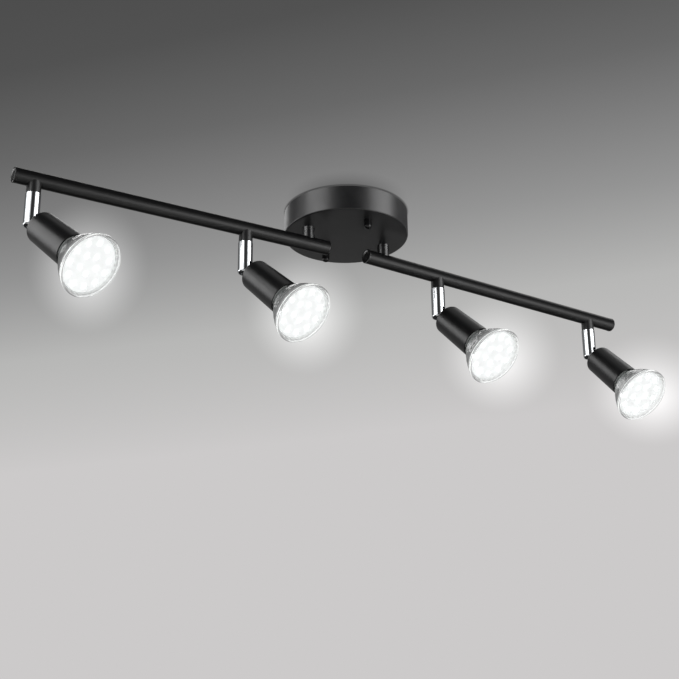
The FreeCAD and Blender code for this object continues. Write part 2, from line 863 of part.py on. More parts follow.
def make_pivot_screw(number, frame):
    """Cross screw of the tilt joint: head in one cheek, end in the other, which stays closed."""
    body = new_body("head_%d_pivot_screw" % number)
    shank_radius = size.pivot_screw_dia / 2
    head_radius = size.pivot_screw_head_dia / 2
    head_seat = fork_slot / 2 + size.pivot_screw_cheek
    far_end = size.fixed_play - (fork_slot / 2 + size.pivot_screw_far_grip)
    head_top = head_seat + size.pivot_screw_head
    turn(body, [
        (far_end, 0),
        (head_top, 0),
        (head_top, head_radius),
        (head_seat, head_radius),
        (head_seat, shank_radius),
        (far_end, shank_radius),
    ], axis="H_Axis", plane="XY_Plane")
    drive = new_sketch(body, "YZ_Plane", head_top)
    hexagon(drive, size.pivot_screw_drive)
    cut(body, drive, size.pivot_screw_head)
    body.Placement = frame
    nodes.append(body)


def make_knuckle(number, frame):
    """Chrome tongue that tilts in the fork, with a flange and a threaded stub for the holder."""
    body = new_body("head_%d_knuckle" % number)
    flange_back = size.holder_back - size.knuckle_flange
    flange_radius = size.knuckle_flange_dia / 2
    stub_radius = size.knuckle_stub_dia / 2
    stub_end = socket_back - size.hole_play
    turn(body, [
        (0, flange_back),
        (flange_radius, flange_back),
        (flange_radius, size.holder_back),
        (stub_radius, size.holder_back),
        (stub_radius, stub_end),
        (0, stub_end),
    ])
    half_height = size.tongue_height / 2
    blade = new_sketch(body, "YZ_Plane")
    outline(blade, [
        (-half_height, 0),
        (half_height, 0),
        (half_height, flange_back),
        (-half_height, flange_back),
    ])
    pad(body, blade, size.tongue_thickness, both_ways=True)
    eye = new_sketch(body, "YZ_Plane")
    circle(eye, 0, 0, size.tongue_height)
    pad(body, eye, size.tongue_thickness, both_ways=True)
    hole = size.pivot_screw_dia + size.running_play * 2
    bore(body, 0, 0, hole, size.tongue_thickness, size.tongue_thickness * 2, plane="YZ_Plane")
    body.Placement = frame
    nodes.append(body)


def make_holder(number, frame):
    """Lamp holder: a slightly flared metal cup with a rounded back and a tapped boss inside."""
    body = new_body("head_%d_holder" % number)
    back = size.holder_back
    front = size.holder_back + size.holder_length
    floor = back + size.holder_base
    back_radius = size.holder_back_dia / 2
    front_radius = size.holder_front_dia / 2
    boss_radius = size.holder_boss_dia / 2
    thread_radius = size.knuckle_stub_dia / 2 + size.fixed_play
    turn(body, [
        (thread_radius, back),
        (back_radius, back),
        (front_radius, front),
        (front_radius - size.holder_wall, front),
        (back_radius - size.holder_wall, floor),
        (boss_radius, floor),
        (boss_radius, socket_back),
        (thread_radius, socket_back),
    ])
    round_edges(body, size.holder_back_round, ring_at(back, size.holder_back_dia))
    body.Placement = frame
    nodes.append(body)


def make_socket(number, frame):
    """Ceramic lamp socket: each pin drops through a round hole and locks along a narrower arc."""
    body = new_body("head_%d_socket" % number)
    radius = size.holder_back_dia / 2 - size.holder_wall - size.socket_play
    front = socket_back + size.socket_height
    turn(body, [(0, socket_back), (radius, socket_back), (radius, front), (0, front)])
    round_edges(body, size.socket_edge, ring_at(front, radius * 2))
    pin_radius = size.pin_spacing / 2
    lip_floor = front - size.socket_lip
    well_floor = front - size.socket_well_depth
    neck_half = size.pin_dia / 2 + size.pin_slot_play
    head_half = size.pin_head_dia / 2 + size.pin_slot_play
    for side in (1, -1):
        middle = pin_radius * side
        for half, low, high in ((neck_half, lip_floor, front), (head_half, well_floor, lip_floor)):
            groove(body, [
                (middle - half, low),
                (middle + half, low),
                (middle + half, high),
                (middle - half, high),
            ], size.lock_angle)
        bore(body, middle, 0, neck_half * 2, front, size.socket_lip)
        bore(body, middle, 0, head_half * 2, lip_floor, size.socket_well_depth - size.socket_lip)
    entries = new_sketch(body, "XY_Plane", front)
    entries.AttachmentOffset = FreeCAD.Placement(
        FreeCAD.Vector(0, 0, float(front)), about(0, 0, 1, size.lock_angle))
    entries.setExpression("AttachmentOffset.Rotation.Angle", formula(size.lock_angle))
    circle(entries, pin_radius, 0, head_half * 2)
    circle(entries, -pin_radius, 0, head_half * 2)
    cut(body, entries, size.socket_well_depth)
    body.Placement = frame
    nodes.append(body)


def make_lamp_base(number, frame):
    """The lamp's plastic base with its two headed contact pins."""
    body = new_body("head_%d_lamp_base" % number)
    radius = neck_inside - size.base_play
    top = lamp_shoulder + size.base_height
    turn(body, [(0, lamp_shoulder), (radius, lamp_shoulder), (radius, top), (0, top)])
    round_edges(body, size.base_round, ring_at(lamp_shoulder, radius * 2))
    pin_radius = size.pin_spacing / 2
    pin_end = lamp_shoulder - size.pin_length
    pins = new_sketch(body, "XY_Plane", pin_end)
    heads = new_sketch(body, "XY_Plane", pin_end)
    for x in (pin_radius, -pin_radius):
        circle(pins, x, 0, size.pin_dia)
        circle(heads, x, 0, size.pin_head_dia)
    pad(body, pins, size.pin_length + size.base_round)
    pad(body, heads, size.pin_head)
    body.Placement = frame
    nodes.append(body)


def make_lamp_glass(number, frame):
    """Bell-shaped glass body of the lamp, from the neck on the base to the rim round the lens."""
    body = new_body("head_%d_lamp_glass" % number)
    neck_bottom = neck_top - size.neck_length
    neck_radius = size.neck_dia / 2
    rim_radius = size.lamp_dia / 2
    turn(body, [
        (neck_inside, neck_bottom),
        (neck_radius, neck_bottom),
        (neck_radius, neck_top),
        (rim_radius - size.rim_step, lamp_rim_back),
        (rim_radius, lamp_rim_back),
        (rim_radius, lamp_front),
        (lamp_rim_inside, lamp_front),
        (lamp_rim_inside, lamp_rim_back),
        (neck_inside, neck_top),
    ], arcs={2: size.glass_curve})
    body.Placement = frame
    nodes.append(body)


def make_lamp_lens(number, frame):
    """Clear front disc of the lamp, set just inside the rim."""
    body = new_body("head_%d_lamp_lens" % number)
    radius = size.lamp_dia / 2 - size.glass_wall - size.lens_play
    front = lamp_front - size.lens_recess
    turn(body, [
        (0, front - size.lens_thickness),
        (radius, front - size.lens_thickness),
        (radius, front),
        (0, front),
    ])
    body.Placement = frame
    nodes.append(body)


def make_led_board(number, frame):
    """Round board wedged in the glass bell behind the lens, with two rings of square LEDs."""
    body = new_body("head_%d_led_board" % number)
    radius = lamp_rim_inside - size.board_inset
    bell_slope = (lamp_rim_back - neck_top) / (lamp_rim_inside - neck_inside)
    bottom = lamp_rim_back - (lamp_rim_inside - radius) * bell_slope + size.lens_play
    top = bottom + size.board_thickness
    turn(body, [(0, bottom), (radius, bottom), (radius, top), (0, top)])
    half = size.led_width / 2
    outer_ring = radius - size.outer_led_inset
    inner_ring = outer_ring - size.led_ring_step
    for middle, count in ((outer_ring, size.outer_leds), (inner_ring, size.inner_leds)):
        chip = new_sketch(body, "XY_Plane", top)
        outline(chip, [
            (middle - half, -half),
            (middle + half, -half),
            (middle + half, half),
            (middle - half, half),
        ])
        repeat_round(body, pad(body, chip, size.led_height), chip, count)
    body.Placement = frame
    nodes.append(body)


# ---- the whole fixture -------------------------------------------------------------------------

make_canopy_shell()
make_mounting_bracket()
make_canopy_studs()
make_cap_nuts()
make_terminal_block()
make_earth_screw()

left_frame = place(-post_offset, 0, tube_axis, about(0, 0, 1, 180 + float(size.left_arm_turn)))
right_frame = place(post_offset, 0, tube_axis, about(0, 0, 1, size.right_arm_turn))
arms = (
    ("left", left_frame, size.left_outer_overhang),
    ("right", right_frame, size.right_outer_overhang),
)
for side, frame, outer_overhang in arms:
    make_tube(side, frame, outer_overhang)
    make_end_caps(side, frame, outer_overhang)
    make_post(side, frame)
    make_nipple(side, frame)
    make_pivot_nut(side, frame)
    make_collars(side, frame)
    make_wires(side, frame)

# Heads are numbered from the left end: the left arm's outer and inner, then the right arm's.
inner_stem, outer_stem = stem_places()
stations = (
    (left_frame, outer_stem),
    (left_frame, inner_stem),
    (right_frame, inner_stem),
    (right_frame, outer_stem),
)
for number, (arm_frame, along) in enumerate(stations, start=1):
    turned = getattr(size, "head_%d_turn" % number)
    tilted = getattr(size, "head_%d_tilt" % number)
    hang = arm_frame.multVec(FreeCAD.Vector(float(along), 0, -float(pivot_drop)))
    stem_frame = FreeCAD.Placement(hang, about(0, 0, 1, turned))
    head_frame = stem_frame * place(rotation=about(1, 0, 0, 180 - float(tilted)))
    make_swivel_bolt(number, stem_frame)
    make_stem(number, stem_frame)
    make_pivot_screw(number, stem_frame)
    make_knuckle(number, head_frame)
    make_holder(number, head_frame)
    make_socket(number, head_frame)
    make_lamp_base(number, head_frame)
    make_lamp_glass(number, head_frame)
    make_lamp_lens(number, head_frame)
    make_led_board(number, head_frame)

doc.recompute()
for item in doc.Objects:
    bad = [state for state in item.State if state in ("Invalid", "Error")]
    if bad:
        raise RuntimeError("%s is %s" % (item.Label, bad))
for node in nodes:
    if node.Shape.isNull() or not node.Shape.isValid():
        raise RuntimeError("%s has no valid shape" % node.Label)

os.makedirs("parts", exist_ok=True)
for node in nodes:
    node.Shape.exportStep("parts/%s.step" % node.Label)
print("%d nodes, %d solids" % (len(nodes), sum(len(node.Shape.Solids) for node in nodes)))
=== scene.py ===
# %% [markdown]
# # A four-lamp ceiling track light
#
# The fixture hangs under a ceiling: a round black canopy, two slim tubes that swing about posts
# under it, and four spot heads on chrome stems, each with a twist-lock reflector lamp that is lit.
# The solids come from the CAD model, in metres, with the ceiling at z = 0 and the lamps facing
# down and towards -Y. This notebook gives them a camera, light, finishes, and the fine pieces
# that plain solids lack: faceted glass, LEDs, screw threads and rounded end caps.

# %% Load the frame
import json
import math

import bpy
import bmesh
from mathutils import Matrix, Vector

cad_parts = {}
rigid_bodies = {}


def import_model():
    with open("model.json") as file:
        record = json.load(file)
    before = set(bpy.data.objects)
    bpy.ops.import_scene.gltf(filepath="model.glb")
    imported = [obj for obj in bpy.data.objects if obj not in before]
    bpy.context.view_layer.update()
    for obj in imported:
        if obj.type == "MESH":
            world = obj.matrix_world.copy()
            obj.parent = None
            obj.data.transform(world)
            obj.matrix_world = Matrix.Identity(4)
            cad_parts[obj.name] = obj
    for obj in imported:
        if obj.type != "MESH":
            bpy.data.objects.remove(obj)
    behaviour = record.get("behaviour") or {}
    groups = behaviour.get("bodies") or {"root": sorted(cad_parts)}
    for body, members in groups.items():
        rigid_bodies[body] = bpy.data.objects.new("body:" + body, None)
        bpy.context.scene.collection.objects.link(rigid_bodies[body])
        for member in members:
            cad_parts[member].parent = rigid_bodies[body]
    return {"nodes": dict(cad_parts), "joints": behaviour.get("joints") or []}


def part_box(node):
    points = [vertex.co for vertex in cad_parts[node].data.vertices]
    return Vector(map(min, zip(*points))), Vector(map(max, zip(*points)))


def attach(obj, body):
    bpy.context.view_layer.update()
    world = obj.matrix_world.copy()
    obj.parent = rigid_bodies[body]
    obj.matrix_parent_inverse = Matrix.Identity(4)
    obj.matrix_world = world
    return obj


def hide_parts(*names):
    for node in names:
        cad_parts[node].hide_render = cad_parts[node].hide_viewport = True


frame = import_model()
bpy.context.view_layer.update()
nodes = frame["nodes"]
joints = {joint["name"]: joint for joint in frame["joints"]}
MM = 0.001
HEADS = (1, 2, 3, 4)

# %% [markdown]
# ## Camera
#
# The fixture is seen from below and from its left, as by someone standing in the room. A camera
# is a place and three directions, so its matrix is written from the turn about the vertical, the
# rise of its view and a slight roll. A long lens from 1.2 m keeps the heads nearly one size.

# %% Camera
def new_object(name, data):
    """An object of the scene that carries a camera, a lamp or a mesh."""
    made = bpy.data.objects.new(name, data)
    bpy.context.scene.collection.objects.link(made)
    return made


VIEW_TURN = math.radians(29.39)
VIEW_RISE = math.radians(22.14)
VIEW_ROLL = math.radians(-0.61)
SENSOR_WIDTH = 36.0
FOCAL_LENGTH = 74.8
CAMERA_PLACE = (-0.53047, -0.92832, -0.54906)

camera_data = bpy.data.cameras.new("camera")
camera_data.sensor_width = SENSOR_WIDTH
camera_data.lens = FOCAL_LENGTH
camera = new_object("camera", camera_data)
bpy.context.scene.camera = camera
turned = Matrix.Rotation(-VIEW_TURN, 4, "Z")
raised = Matrix.Rotation(math.pi / 2 + VIEW_RISE, 4, "X")
rolled = Matrix.Rotation(VIEW_ROLL, 4, "Z")
camera.matrix_world = Matrix.Translation(CAMERA_PLACE) @ turned @ raised @ rolled
bpy.context.scene.view_settings.view_transform = "Standard"
print("camera at", tuple(round(place, 3) for place in camera.location))

# %% [markdown]
# ## Helpers
#
# Colours are written as sRGB hex, as a paint chart gives them, and shading works in linear light,
# so one function converts them. Every node tree below is built with one other function: it adds a
# node, sets it up, and fills its inputs, by name or in order, with constants or with links from
# sockets; a node stands for its own first output. With both, a third mixes two tints.

# %% Colour and node helpers
def linear(hex_colour):
    """An sRGB hex colour as linear red, green, blue and alpha."""
    channels = [int(hex_colour[place:place + 2], 16) / 255 for place in (1, 3, 5)]
    bright = [c / 12.92 if c <= 0.04045 else ((c + 0.055) / 1.055) ** 2.4 for c in channels]
    return (*bright, 1.0)


def add_node(tree, kind, inputs=(), **settings):
    """A new node of a tree with its constant inputs, its links and its settings."""
    node = tree.nodes.new(kind)
    for name, value in settings.items():
        setattr(node, name, value)
    named = inputs if isinstance(inputs, dict) else dict(enumerate(inputs))
    for name, value in named.items():
        if isinstance(value, bpy.types.Node):
            value = value.outputs[0]
        if isinstance(value, bpy.types.NodeSocket):
            tree.links.new(value, node.inputs[name])
        else:
            node.inputs[name].default_value = value
    return node


def two_tints(tree, share, first_hex, second_hex):
    """A colour that goes from one tint to another as a share goes from 0 to 1."""
    return add_node(tree, "ShaderNodeMix", {
        0: share,
        6: linear(first_hex),
        7: linear(second_hex),
    }, data_type="RGBA").outputs[2]


print("black paint in linear light:", [round(c, 4) for c in linear("#1b1b1c")])

# %% [markdown]
# ## Room and light
#
# A black, a chrome and a glass surface show what stands round them more than their own colour, so
# the room matters. The floor is pale: the camera and glass see it lifted, reflections see it
# dimmer, and it keeps the light and shade that fall on it. The ceiling is a backdrop that only the
# camera and glass see, and only from below, so that views from above still look into the fixture.
# Its light and shade are painted on. Its colour is painted darker near the viewer, where less light
# falls on it. On the viewer's side of the canopy it has a painted soft shade, and along the rim a
# thin painted shadow line where the canopy meets it. Beyond each lit lamp lies a painted soft pool
# of light, a round gradient stretched away from the viewer.

# %% Floor and ceiling
FLOOR_HEIGHT = -0.95
FLOOR_LIFT = 0.56
FLOOR_LIFT_MIRRORED = 0.3
CEILING_HEIGHT = 0.0006
ROOM_HALF = 12.0


def placing(place, facing):
    """The matrix that brings a shape to a place and turns its z to a direction."""
    return Matrix.Translation(place) @ Vector(facing).to_track_quat("Z", "Y").to_matrix().to_4x4()


def new_sheet(name, half_width, half_depth, place, facing):
    """A flat sheet centred at a place, whose front faces a direction."""
    corners = [(x * half_width, y * half_depth, 0) for x, y in ((-1, -1), (1, -1), (1, 1), (-1, 1))]
    mesh = bpy.data.meshes.new(name)
    mesh.from_pydata(corners, [], [(0, 1, 2, 3)])
    mesh.transform(placing(place, facing))
    sheet = new_object(name, mesh)
    return sheet


def new_material(name):
    """An empty node material and its tree, with only an output node."""
    material = bpy.data.materials.new(name)
    material.use_nodes = True
    tree = material.node_tree
    tree.nodes.clear()
    add_node(tree, "ShaderNodeOutputMaterial")
    return material, tree


def finish_surface(tree, surface):
    """Links a shader, or a Principled one with the given inputs, to the tree's output."""
    if isinstance(surface, dict):
        surface = add_node(tree, "ShaderNodeBsdfPrincipled", surface)
    tree.links.new(surface.outputs[0], tree.nodes["Material Output"].inputs["Surface"])


def seen_light(tree, glossy_share):
    """1 for what the camera and glass see, glossy_share for reflections, 0 for light itself."""
    rays = add_node(tree, "ShaderNodeLightPath")
    reflected = add_node(tree, "ShaderNodeMath", [
        rays.outputs["Is Glossy Ray"],
        glossy_share,
    ], operation="MULTIPLY")
    through_glass = add_node(tree, "ShaderNodeMath", [
        rays.outputs["Is Camera Ray"],
        rays.outputs["Is Transmission Ray"],
    ], operation="MAXIMUM")
    return add_node(tree, "ShaderNodeMath", [reflected, through_glass], operation="MAXIMUM")


floor = new_sheet("floor", ROOM_HALF, ROOM_HALF, (0, 0, FLOOR_HEIGHT), (0, 0, 1))
floor_paint, tree = new_material("pale_floor_paint")
lift = add_node(tree, "ShaderNodeMath", [
    seen_light(tree, FLOOR_LIFT_MIRRORED),
    FLOOR_LIFT,
], operation="MULTIPLY")
finish_surface(tree, {
    "Base Color": linear("#dcdbd8"),
    "Roughness": 0.8,
    "Emission Color": linear("#fffefb"),
    "Emission Strength": lift,
})
floor.data.materials.append(floor_paint)

ceiling = new_sheet("ceiling", ROOM_HALF, ROOM_HALF, (0, 0, CEILING_HEIGHT), (0, 0, -1))
for ray in ("visible_glossy", "visible_diffuse", "visible_shadow"):
    setattr(ceiling, ray, False)
print("floor at", FLOOR_HEIGHT, "m, ceiling at", CEILING_HEIGHT, "m")

# %% Ceiling light and shade
# Painted light: the backdrop's colour goes from dark near the viewer to pale far off, as if less
# light falls on the near ceiling.
CEILING_TONES = (
    (0.00, "#4c4c4c"),
    (0.10, "#525252"),
    (0.22, "#686868"),
    (0.43, "#949494"),
    (0.62, "#b7b7b6"),
    (1.00, "#cccaca"),
)
CEILING_FADE_START = -0.40
CEILING_FADE_END = 0.60
AWAY_FROM_VIEWER = (0.776, 0.710, 0.0)
# Painted shade: a soft shadow on the ceiling, on the viewer's side of the canopy.
SHADE_CENTRE = (-0.012, -0.023, 0)
SHADE_REACH = (0.051, 0.051)
SHADE_FALLOFF = 1.3
# Painted shadow: a thin dark line on the ceiling along the canopy's rim, on the viewer's side.
RIM_SHADOW_CENTRE = (-0.0009, -0.0018, 0)
RIM_SHADOW_REACH = (0.053, 0.053)
RIM_SHADOW_FADE = 0.03
RIM_SHADOW_DEPTH = 0.65
POOL_BEYOND = 0.268
POOL_SIDEWAYS = 0.166
POOL_SPREAD = 0.33
POOL_LENGTH = 0.54
POOL_WIDTH = 0.20
POOL_FALLOFF = 1.5
POOL_STRENGTH = 0.54

ceiling_paint, tree = new_material("ceiling_backdrop")
where = add_node(tree, "ShaderNodeTexCoord")
faded = add_node(tree, "ShaderNodeVectorMath", [
    where.outputs["Object"],
    AWAY_FROM_VIEWER,
], operation="DOT_PRODUCT")
share = add_node(tree, "ShaderNodeMapRange", {
    "Value": faded.outputs["Value"],
    "From Min": CEILING_FADE_START,
    "From Max": CEILING_FADE_END,
})
tones = add_node(tree, "ShaderNodeValToRGB", {"Fac": share})
ramp = tones.color_ramp.elements
ramp[0].color, ramp[1].color = [linear(CEILING_TONES[end][1]) for end in (0, -1)]
for place, tone in CEILING_TONES[1:-1]:
    ramp.new(place).color = linear(tone)


def soft_spot(centre, reach, turn=0.0):
    """1 at a place on the ceiling, fading to 0 at its reach along and across the turned axis."""
    spot = add_node(tree, "ShaderNodeMapping", {
        "Vector": where.outputs["Object"],
        "Location": centre,
        "Rotation": (0, 0, turn),
        "Scale": (*reach, 1),
    }, vector_type="TEXTURE")
    fade = add_node(tree, "ShaderNodeTexGradient", {"Vector": spot}, gradient_type="SPHERICAL")
    return fade.outputs["Fac"]


shade = add_node(tree, "ShaderNodeMath", [
    soft_spot(SHADE_CENTRE, SHADE_REACH),
    SHADE_FALLOFF,
], operation="POWER")
# The painted shadow line on the ceiling along the canopy's rim.
rim_line = add_node(tree, "ShaderNodeMapRange", {
    "Value": soft_spot(RIM_SHADOW_CENTRE, RIM_SHADOW_REACH),
    "From Max": RIM_SHADOW_FADE,
    "To Max": RIM_SHADOW_DEPTH,
})
darkest = add_node(tree, "ShaderNodeMath", [shade, rim_line], operation="MAXIMUM")
shaded = add_node(tree, "ShaderNodeMix", {
    0: darkest,
    6: tones,
    7: linear("#000000"),
}, data_type="RGBA")

pool_light = 0.0
for number in HEADS:
    low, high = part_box(f"head_{number}_lamp_lens")
    lens = (low + high) / 2
    beyond = Vector((POOL_SIDEWAYS + POOL_SPREAD * lens.x, POOL_BEYOND, 0))
    pool = soft_spot(
        (lens.x + beyond.x, lens.y + beyond.y, 0),
        (POOL_LENGTH * beyond.length, POOL_WIDTH * beyond.length),
        math.atan2(beyond.y, beyond.x),
    )
    pool_light = add_node(tree, "ShaderNodeMath", [pool, pool_light], operation="ADD")
fading = add_node(tree, "ShaderNodeMath", [pool_light, POOL_FALLOFF], operation="POWER")
lit = add_node(tree, "ShaderNodeMix", {
    0: add_node(tree, "ShaderNodeMath", [fading, POOL_STRENGTH], operation="MULTIPLY"),
    6: shaded.outputs[2],
    7: linear("#ffffff"),
}, data_type="RGBA", blend_type="ADD")
seen = add_node(tree, "ShaderNodeMixShader", [
    add_node(tree, "ShaderNodeNewGeometry").outputs["Backfacing"],
    add_node(tree, "ShaderNodeEmission", {"Color": lit.outputs[2]}),
    add_node(tree, "ShaderNodeBsdfTransparent"),
])
finish_surface(tree, seen)
ceiling.data.materials.append(ceiling_paint)
print("ceiling tones:", [tone for place, tone in CEILING_TONES])

# %% [markdown]
# A black fixture is drawn by its highlights, so each lamp is there for one of them. Two flat soft
# boxes left and right, at the height that upright surfaces mirror, give every stem and the canopy
# their two light bands. Each has a wider, dimmer glow round it, so that a band fades out instead
# of ending at an edge. A low box on the left and one on the right light the fixture from the sides
# and below, two boxes behind draw the far edges, and a large one near the viewer, which has no
# reflection, lifts the plain colours. Cards that only reflections see darken the gap between the
# bands, and the room below and behind.

# %% Soft boxes
TARGET = Vector((0, 0, -0.05))
BOX_DISTANCE = 1.6


def direction(azimuth, elevation):
    """The unit vector at an azimuth, 0 towards -Y and 90 towards +X, and an elevation."""
    a, e = math.radians(azimuth), math.radians(elevation)
    return Vector((math.sin(a) * math.cos(e), -math.cos(a) * math.cos(e), math.sin(e)))


def new_soft_box(name, azimuth, elevation, wide, high, brightness):
    """A soft box that faces the fixture; its width and height are angles, seen from there."""
    light_data = bpy.data.lights.new(name, "AREA")
    light_data.shape = "RECTANGLE"
    light_data.size, light_data.size_y = [
        2 * BOX_DISTANCE * math.tan(math.radians(angle / 2)) for angle in (wide, high)
    ]
    light_data.energy = brightness * light_data.size * light_data.size_y * math.pi
    light = new_object(name, light_data)
    back = direction(azimuth, elevation)
    light.location = TARGET + back * BOX_DISTANCE
    light.rotation_mode = "QUATERNION"
    light.rotation_quaternion = (-back).to_track_quat("-Z", "Y")
    light.visible_camera = False
    return light


low_left_box = new_soft_box("low_left_box", -129, 7, 34, 20, 3.2)
low_right_box = new_soft_box("low_right_box", 34, -20, 44, 34, 3.0)
viewer_box = new_soft_box("viewer_box", -27, -24, 46, 40, 1.5)
viewer_box.visible_glossy = False
print("low boxes", BOX_DISTANCE, "m away")

# %% [markdown]
# In a studio, small black flags keep a lamp off one part of a set. Light linking does that here:
# a collection names the pieces that a lamp lights or leaves out, or whose shadow it doesn't cast.
# The upper boxes leave out the tubes, whose tops stay black. The posts and stems have the same
# boxes again, which pass the canopy, so that the pieces under it still show their two bands. The
# left boxes leave out the lamp holders, which have two of their own: one for the broad band along
# their left side, and a dim one for their upper edge. One more box lights only the canopy, from
# below and behind, and passes the arms. Each box has its azimuth, elevation, width and height in
# degrees, and its brightness.

# %% Boxes with flags
UPPER_BOXES = {
    "left_box": (-84, 26, 38, 22, 3.4),
    "left_glow": (-86, 27, 74, 26, 0.7),
    "right_box": (39, 26, 38, 22, 3.6),
    "right_glow": (39, 27, 62, 26, 0.7),
}
BACK_BOXES = {
    "back_box": (175, 38, 32, 22, 1.6),
    "back_right_box": (118, 44, 44, 20, 1.2),
}
HOLDER_BOXES = {
    "holder_box": (-114, 21, 44, 36, 2.9),
    "holder_top_glow": (105, 74, 50, 50, 0.3),
}
UNDER_BOX = (150, -26, 60, 40, 0.55)
SIDES = ("left", "right")


def each_head(piece):
    """The names of one piece on all four heads."""
    return [f"head_{number}_{piece}" for number in HEADS]


def each_arm(piece):
    """The names of one piece on both arms."""
    return [f"arm_{side}_{piece}" for side in SIDES]


def light_group(name, state, members):
    """A collection of objects that a lamp takes in (INCLUDE) or leaves out (EXCLUDE)."""
    group = bpy.data.collections.new(name)
    for number, member in enumerate(members):
        group.objects.link(bpy.data.objects[member])
        group.collection_objects[number].light_linking.link_state = state
    return group


def flag(box, state, lit, shadowless=()):
    """Gives a soft box the objects that it lights or leaves out; shadowless ones cast no shadow."""
    box.light_linking.receiver_collection = light_group(box.name + "_lit", state, lit)
    if shadowless:
        passed = light_group(box.name + "_passed", "EXCLUDE", shadowless)
        box.light_linking.blocker_collection = passed


tubes, posts = each_arm("tube"), each_arm("post")
holders, uprights = each_head("holder"), posts + each_head("stem")
flag(low_left_box, "EXCLUDE", ["floor", *holders])
flag(low_right_box, "EXCLUDE", ["floor"])
flag(viewer_box, "EXCLUDE", ["floor"])
for name, shape in UPPER_BOXES.items():
    left_out = uprights + tubes + (holders if name.startswith("left") else [])
    flag(new_soft_box(name, *shape), "EXCLUDE", left_out)
    flag(new_soft_box(name + "_for_uprights", *shape), "INCLUDE", uprights, ["canopy_shell"])
for name, shape in BACK_BOXES.items():
    flag(new_soft_box(name, *shape), "EXCLUDE", uprights)
for name, shape in HOLDER_BOXES.items():
    flag(new_soft_box(name, *shape), "INCLUDE", holders)
flag(new_soft_box("under_box", *UNDER_BOX), "INCLUDE", ["canopy_shell"], tubes + posts)
print(len(bpy.data.lights), "soft boxes")

# %% Cards
def new_card(name, hex_colour, half_width, half_depth, place, facing):
    """A card of even brightness that only reflections see."""
    paint, tree = new_material(name)
    finish_surface(tree, add_node(tree, "ShaderNodeEmission", {"Color": linear(hex_colour)}))
    card = new_sheet(name, half_width, half_depth, place, facing)
    card.data.materials.append(paint)
    for ray in ("visible_camera", "visible_diffuse", "visible_shadow", "visible_transmission"):
        setattr(card, ray, False)


gap = direction(-26, 24)
new_card("gap_card", "#343434", 0.42, 0.5, gap * 1.2, -gap)
new_card("back_card", "#262626", 1.4, 0.9, (0.35, 1.0, -0.62), (0, 0, 1))
print("cards beside and behind the fixture")

# %% World
world = bpy.data.worlds.new("studio")
bpy.context.scene.world = world
world.use_nodes = True
tree = world.node_tree
tree.nodes.clear()
heading = add_node(tree, "ShaderNodeTexCoord")
height = add_node(tree, "ShaderNodeSeparateXYZ", [heading.outputs["Generated"]])
upward = add_node(tree, "ShaderNodeMapRange", {
    "Value": height.outputs["Z"],
    "From Max": 0.65,
}, interpolation_type="SMOOTHSTEP")
shown = add_node(tree, "ShaderNodeMix", {
    0: add_node(tree, "ShaderNodeLightPath").outputs["Is Camera Ray"],
    6: two_tints(tree, upward, "#949494", "#3a3a3a"),
    7: linear("#cfcecb"),
}, data_type="RGBA")
background = add_node(tree, "ShaderNodeBackground", {"Color": shown.outputs[2]})
add_node(tree, "ShaderNodeOutputWorld", {"Surface": background})
print("world set")

# %% [markdown]
# ## Finishes
#
# Each finish starts from what the part is made of and how its surface came about. They are mapped
# with Object coordinates, which are metres in the frame, so a pattern's scale is one over its real
# size. A small helper sizes a noise by the width of its blotches.

# %% Pattern helpers
def object_place(tree):
    """The place on the piece in metres."""
    return add_node(tree, "ShaderNodeTexCoord").outputs["Object"]


def blotches(tree, width_mm, detail=2.0):
    """Soft noise whose blotches are about width_mm wide, from 0 to 1."""
    return add_node(tree, "ShaderNodeTexNoise", {
        "Vector": object_place(tree),
        "Scale": 1 / (width_mm * MM),
        "Detail": detail,
    })


def spread(tree, value, low, high):
    """Maps the useful middle of a noise, 0.3 to 0.7, onto low to high."""
    return add_node(tree, "ShaderNodeMapRange", {
        "Value": value,
        "From Min": 0.3,
        "From Max": 0.7,
        "To Min": low,
        "To Max": high,
    })


def relief(tree, value, height_mm):
    """A bump whose full height is height_mm."""
    return add_node(tree, "ShaderNodeBump", {"Height": value, "Distance": height_mm * MM})


def dress(material, *names):
    """Puts a material in the slots of CAD nodes."""
    for name in names:
        for slot in nodes[name].material_slots:
            slot.material = material
    print(material.name, "on", len(names), "nodes")


print("a pattern 1 mm wide has a scale of", round(1 / MM))

# %% [markdown]
# ### Powder-coated steel
#
# The canopy is a drawn steel cup, sprayed with dry black polyester powder and baked. The powder
# melts into a thick even coat with a faint orange peel, a wave about 1.5 mm wide and a few
# hundredths high. That gives the eye a satin black whose light bands are broad and soft-edged.

# %% Powder coat
def satin_black_coat(name, hex_colour, worn_colour, gloss, peel_width, peel_height):
    """A baked powder coat: satin, with an orange peel and slightly uneven colour and gloss."""
    material, tree = new_material(name)
    peel = blotches(tree, peel_width, 3.0)
    haze = blotches(tree, 9.0, 4.0)
    finish_surface(tree, {
        "Base Color": two_tints(tree, spread(tree, haze, 0.0, 1.0), hex_colour, worn_colour),
        "Roughness": spread(tree, haze, gloss - 0.02, gloss + 0.03),
        "IOR": 1.52,
        "Normal": relief(tree, peel, peel_height),
    })
    return material


STEEL = "powder_coated_steel_"
canopy_coat = satin_black_coat(STEEL + "canopy", "#19191a", "#1e1e1f", 0.33, 1.5, 0.012)
tube_coat = satin_black_coat(STEEL + "tube", "#0c0c0d", "#111112", 0.42, 1.2, 0.010)
post_coat = satin_black_coat(STEEL + "post", "#0f0f10", "#141415", 0.28, 1.2, 0.002)
holder_coat = satin_black_coat(STEEL + "holder", "#0b0b0c", "#101011", 0.34, 1.2, 0.010)
nut_coat = satin_black_coat("black_nickel_cap_nut", "#0e0e0f", "#111112", 0.16, 0.8, 0.002)
dress(canopy_coat, "canopy_shell")
dress(nut_coat, "cap_nuts")
dress(tube_coat, *tubes, *each_arm("collars"))
dress(post_coat, *posts)
dress(holder_coat, *holders)

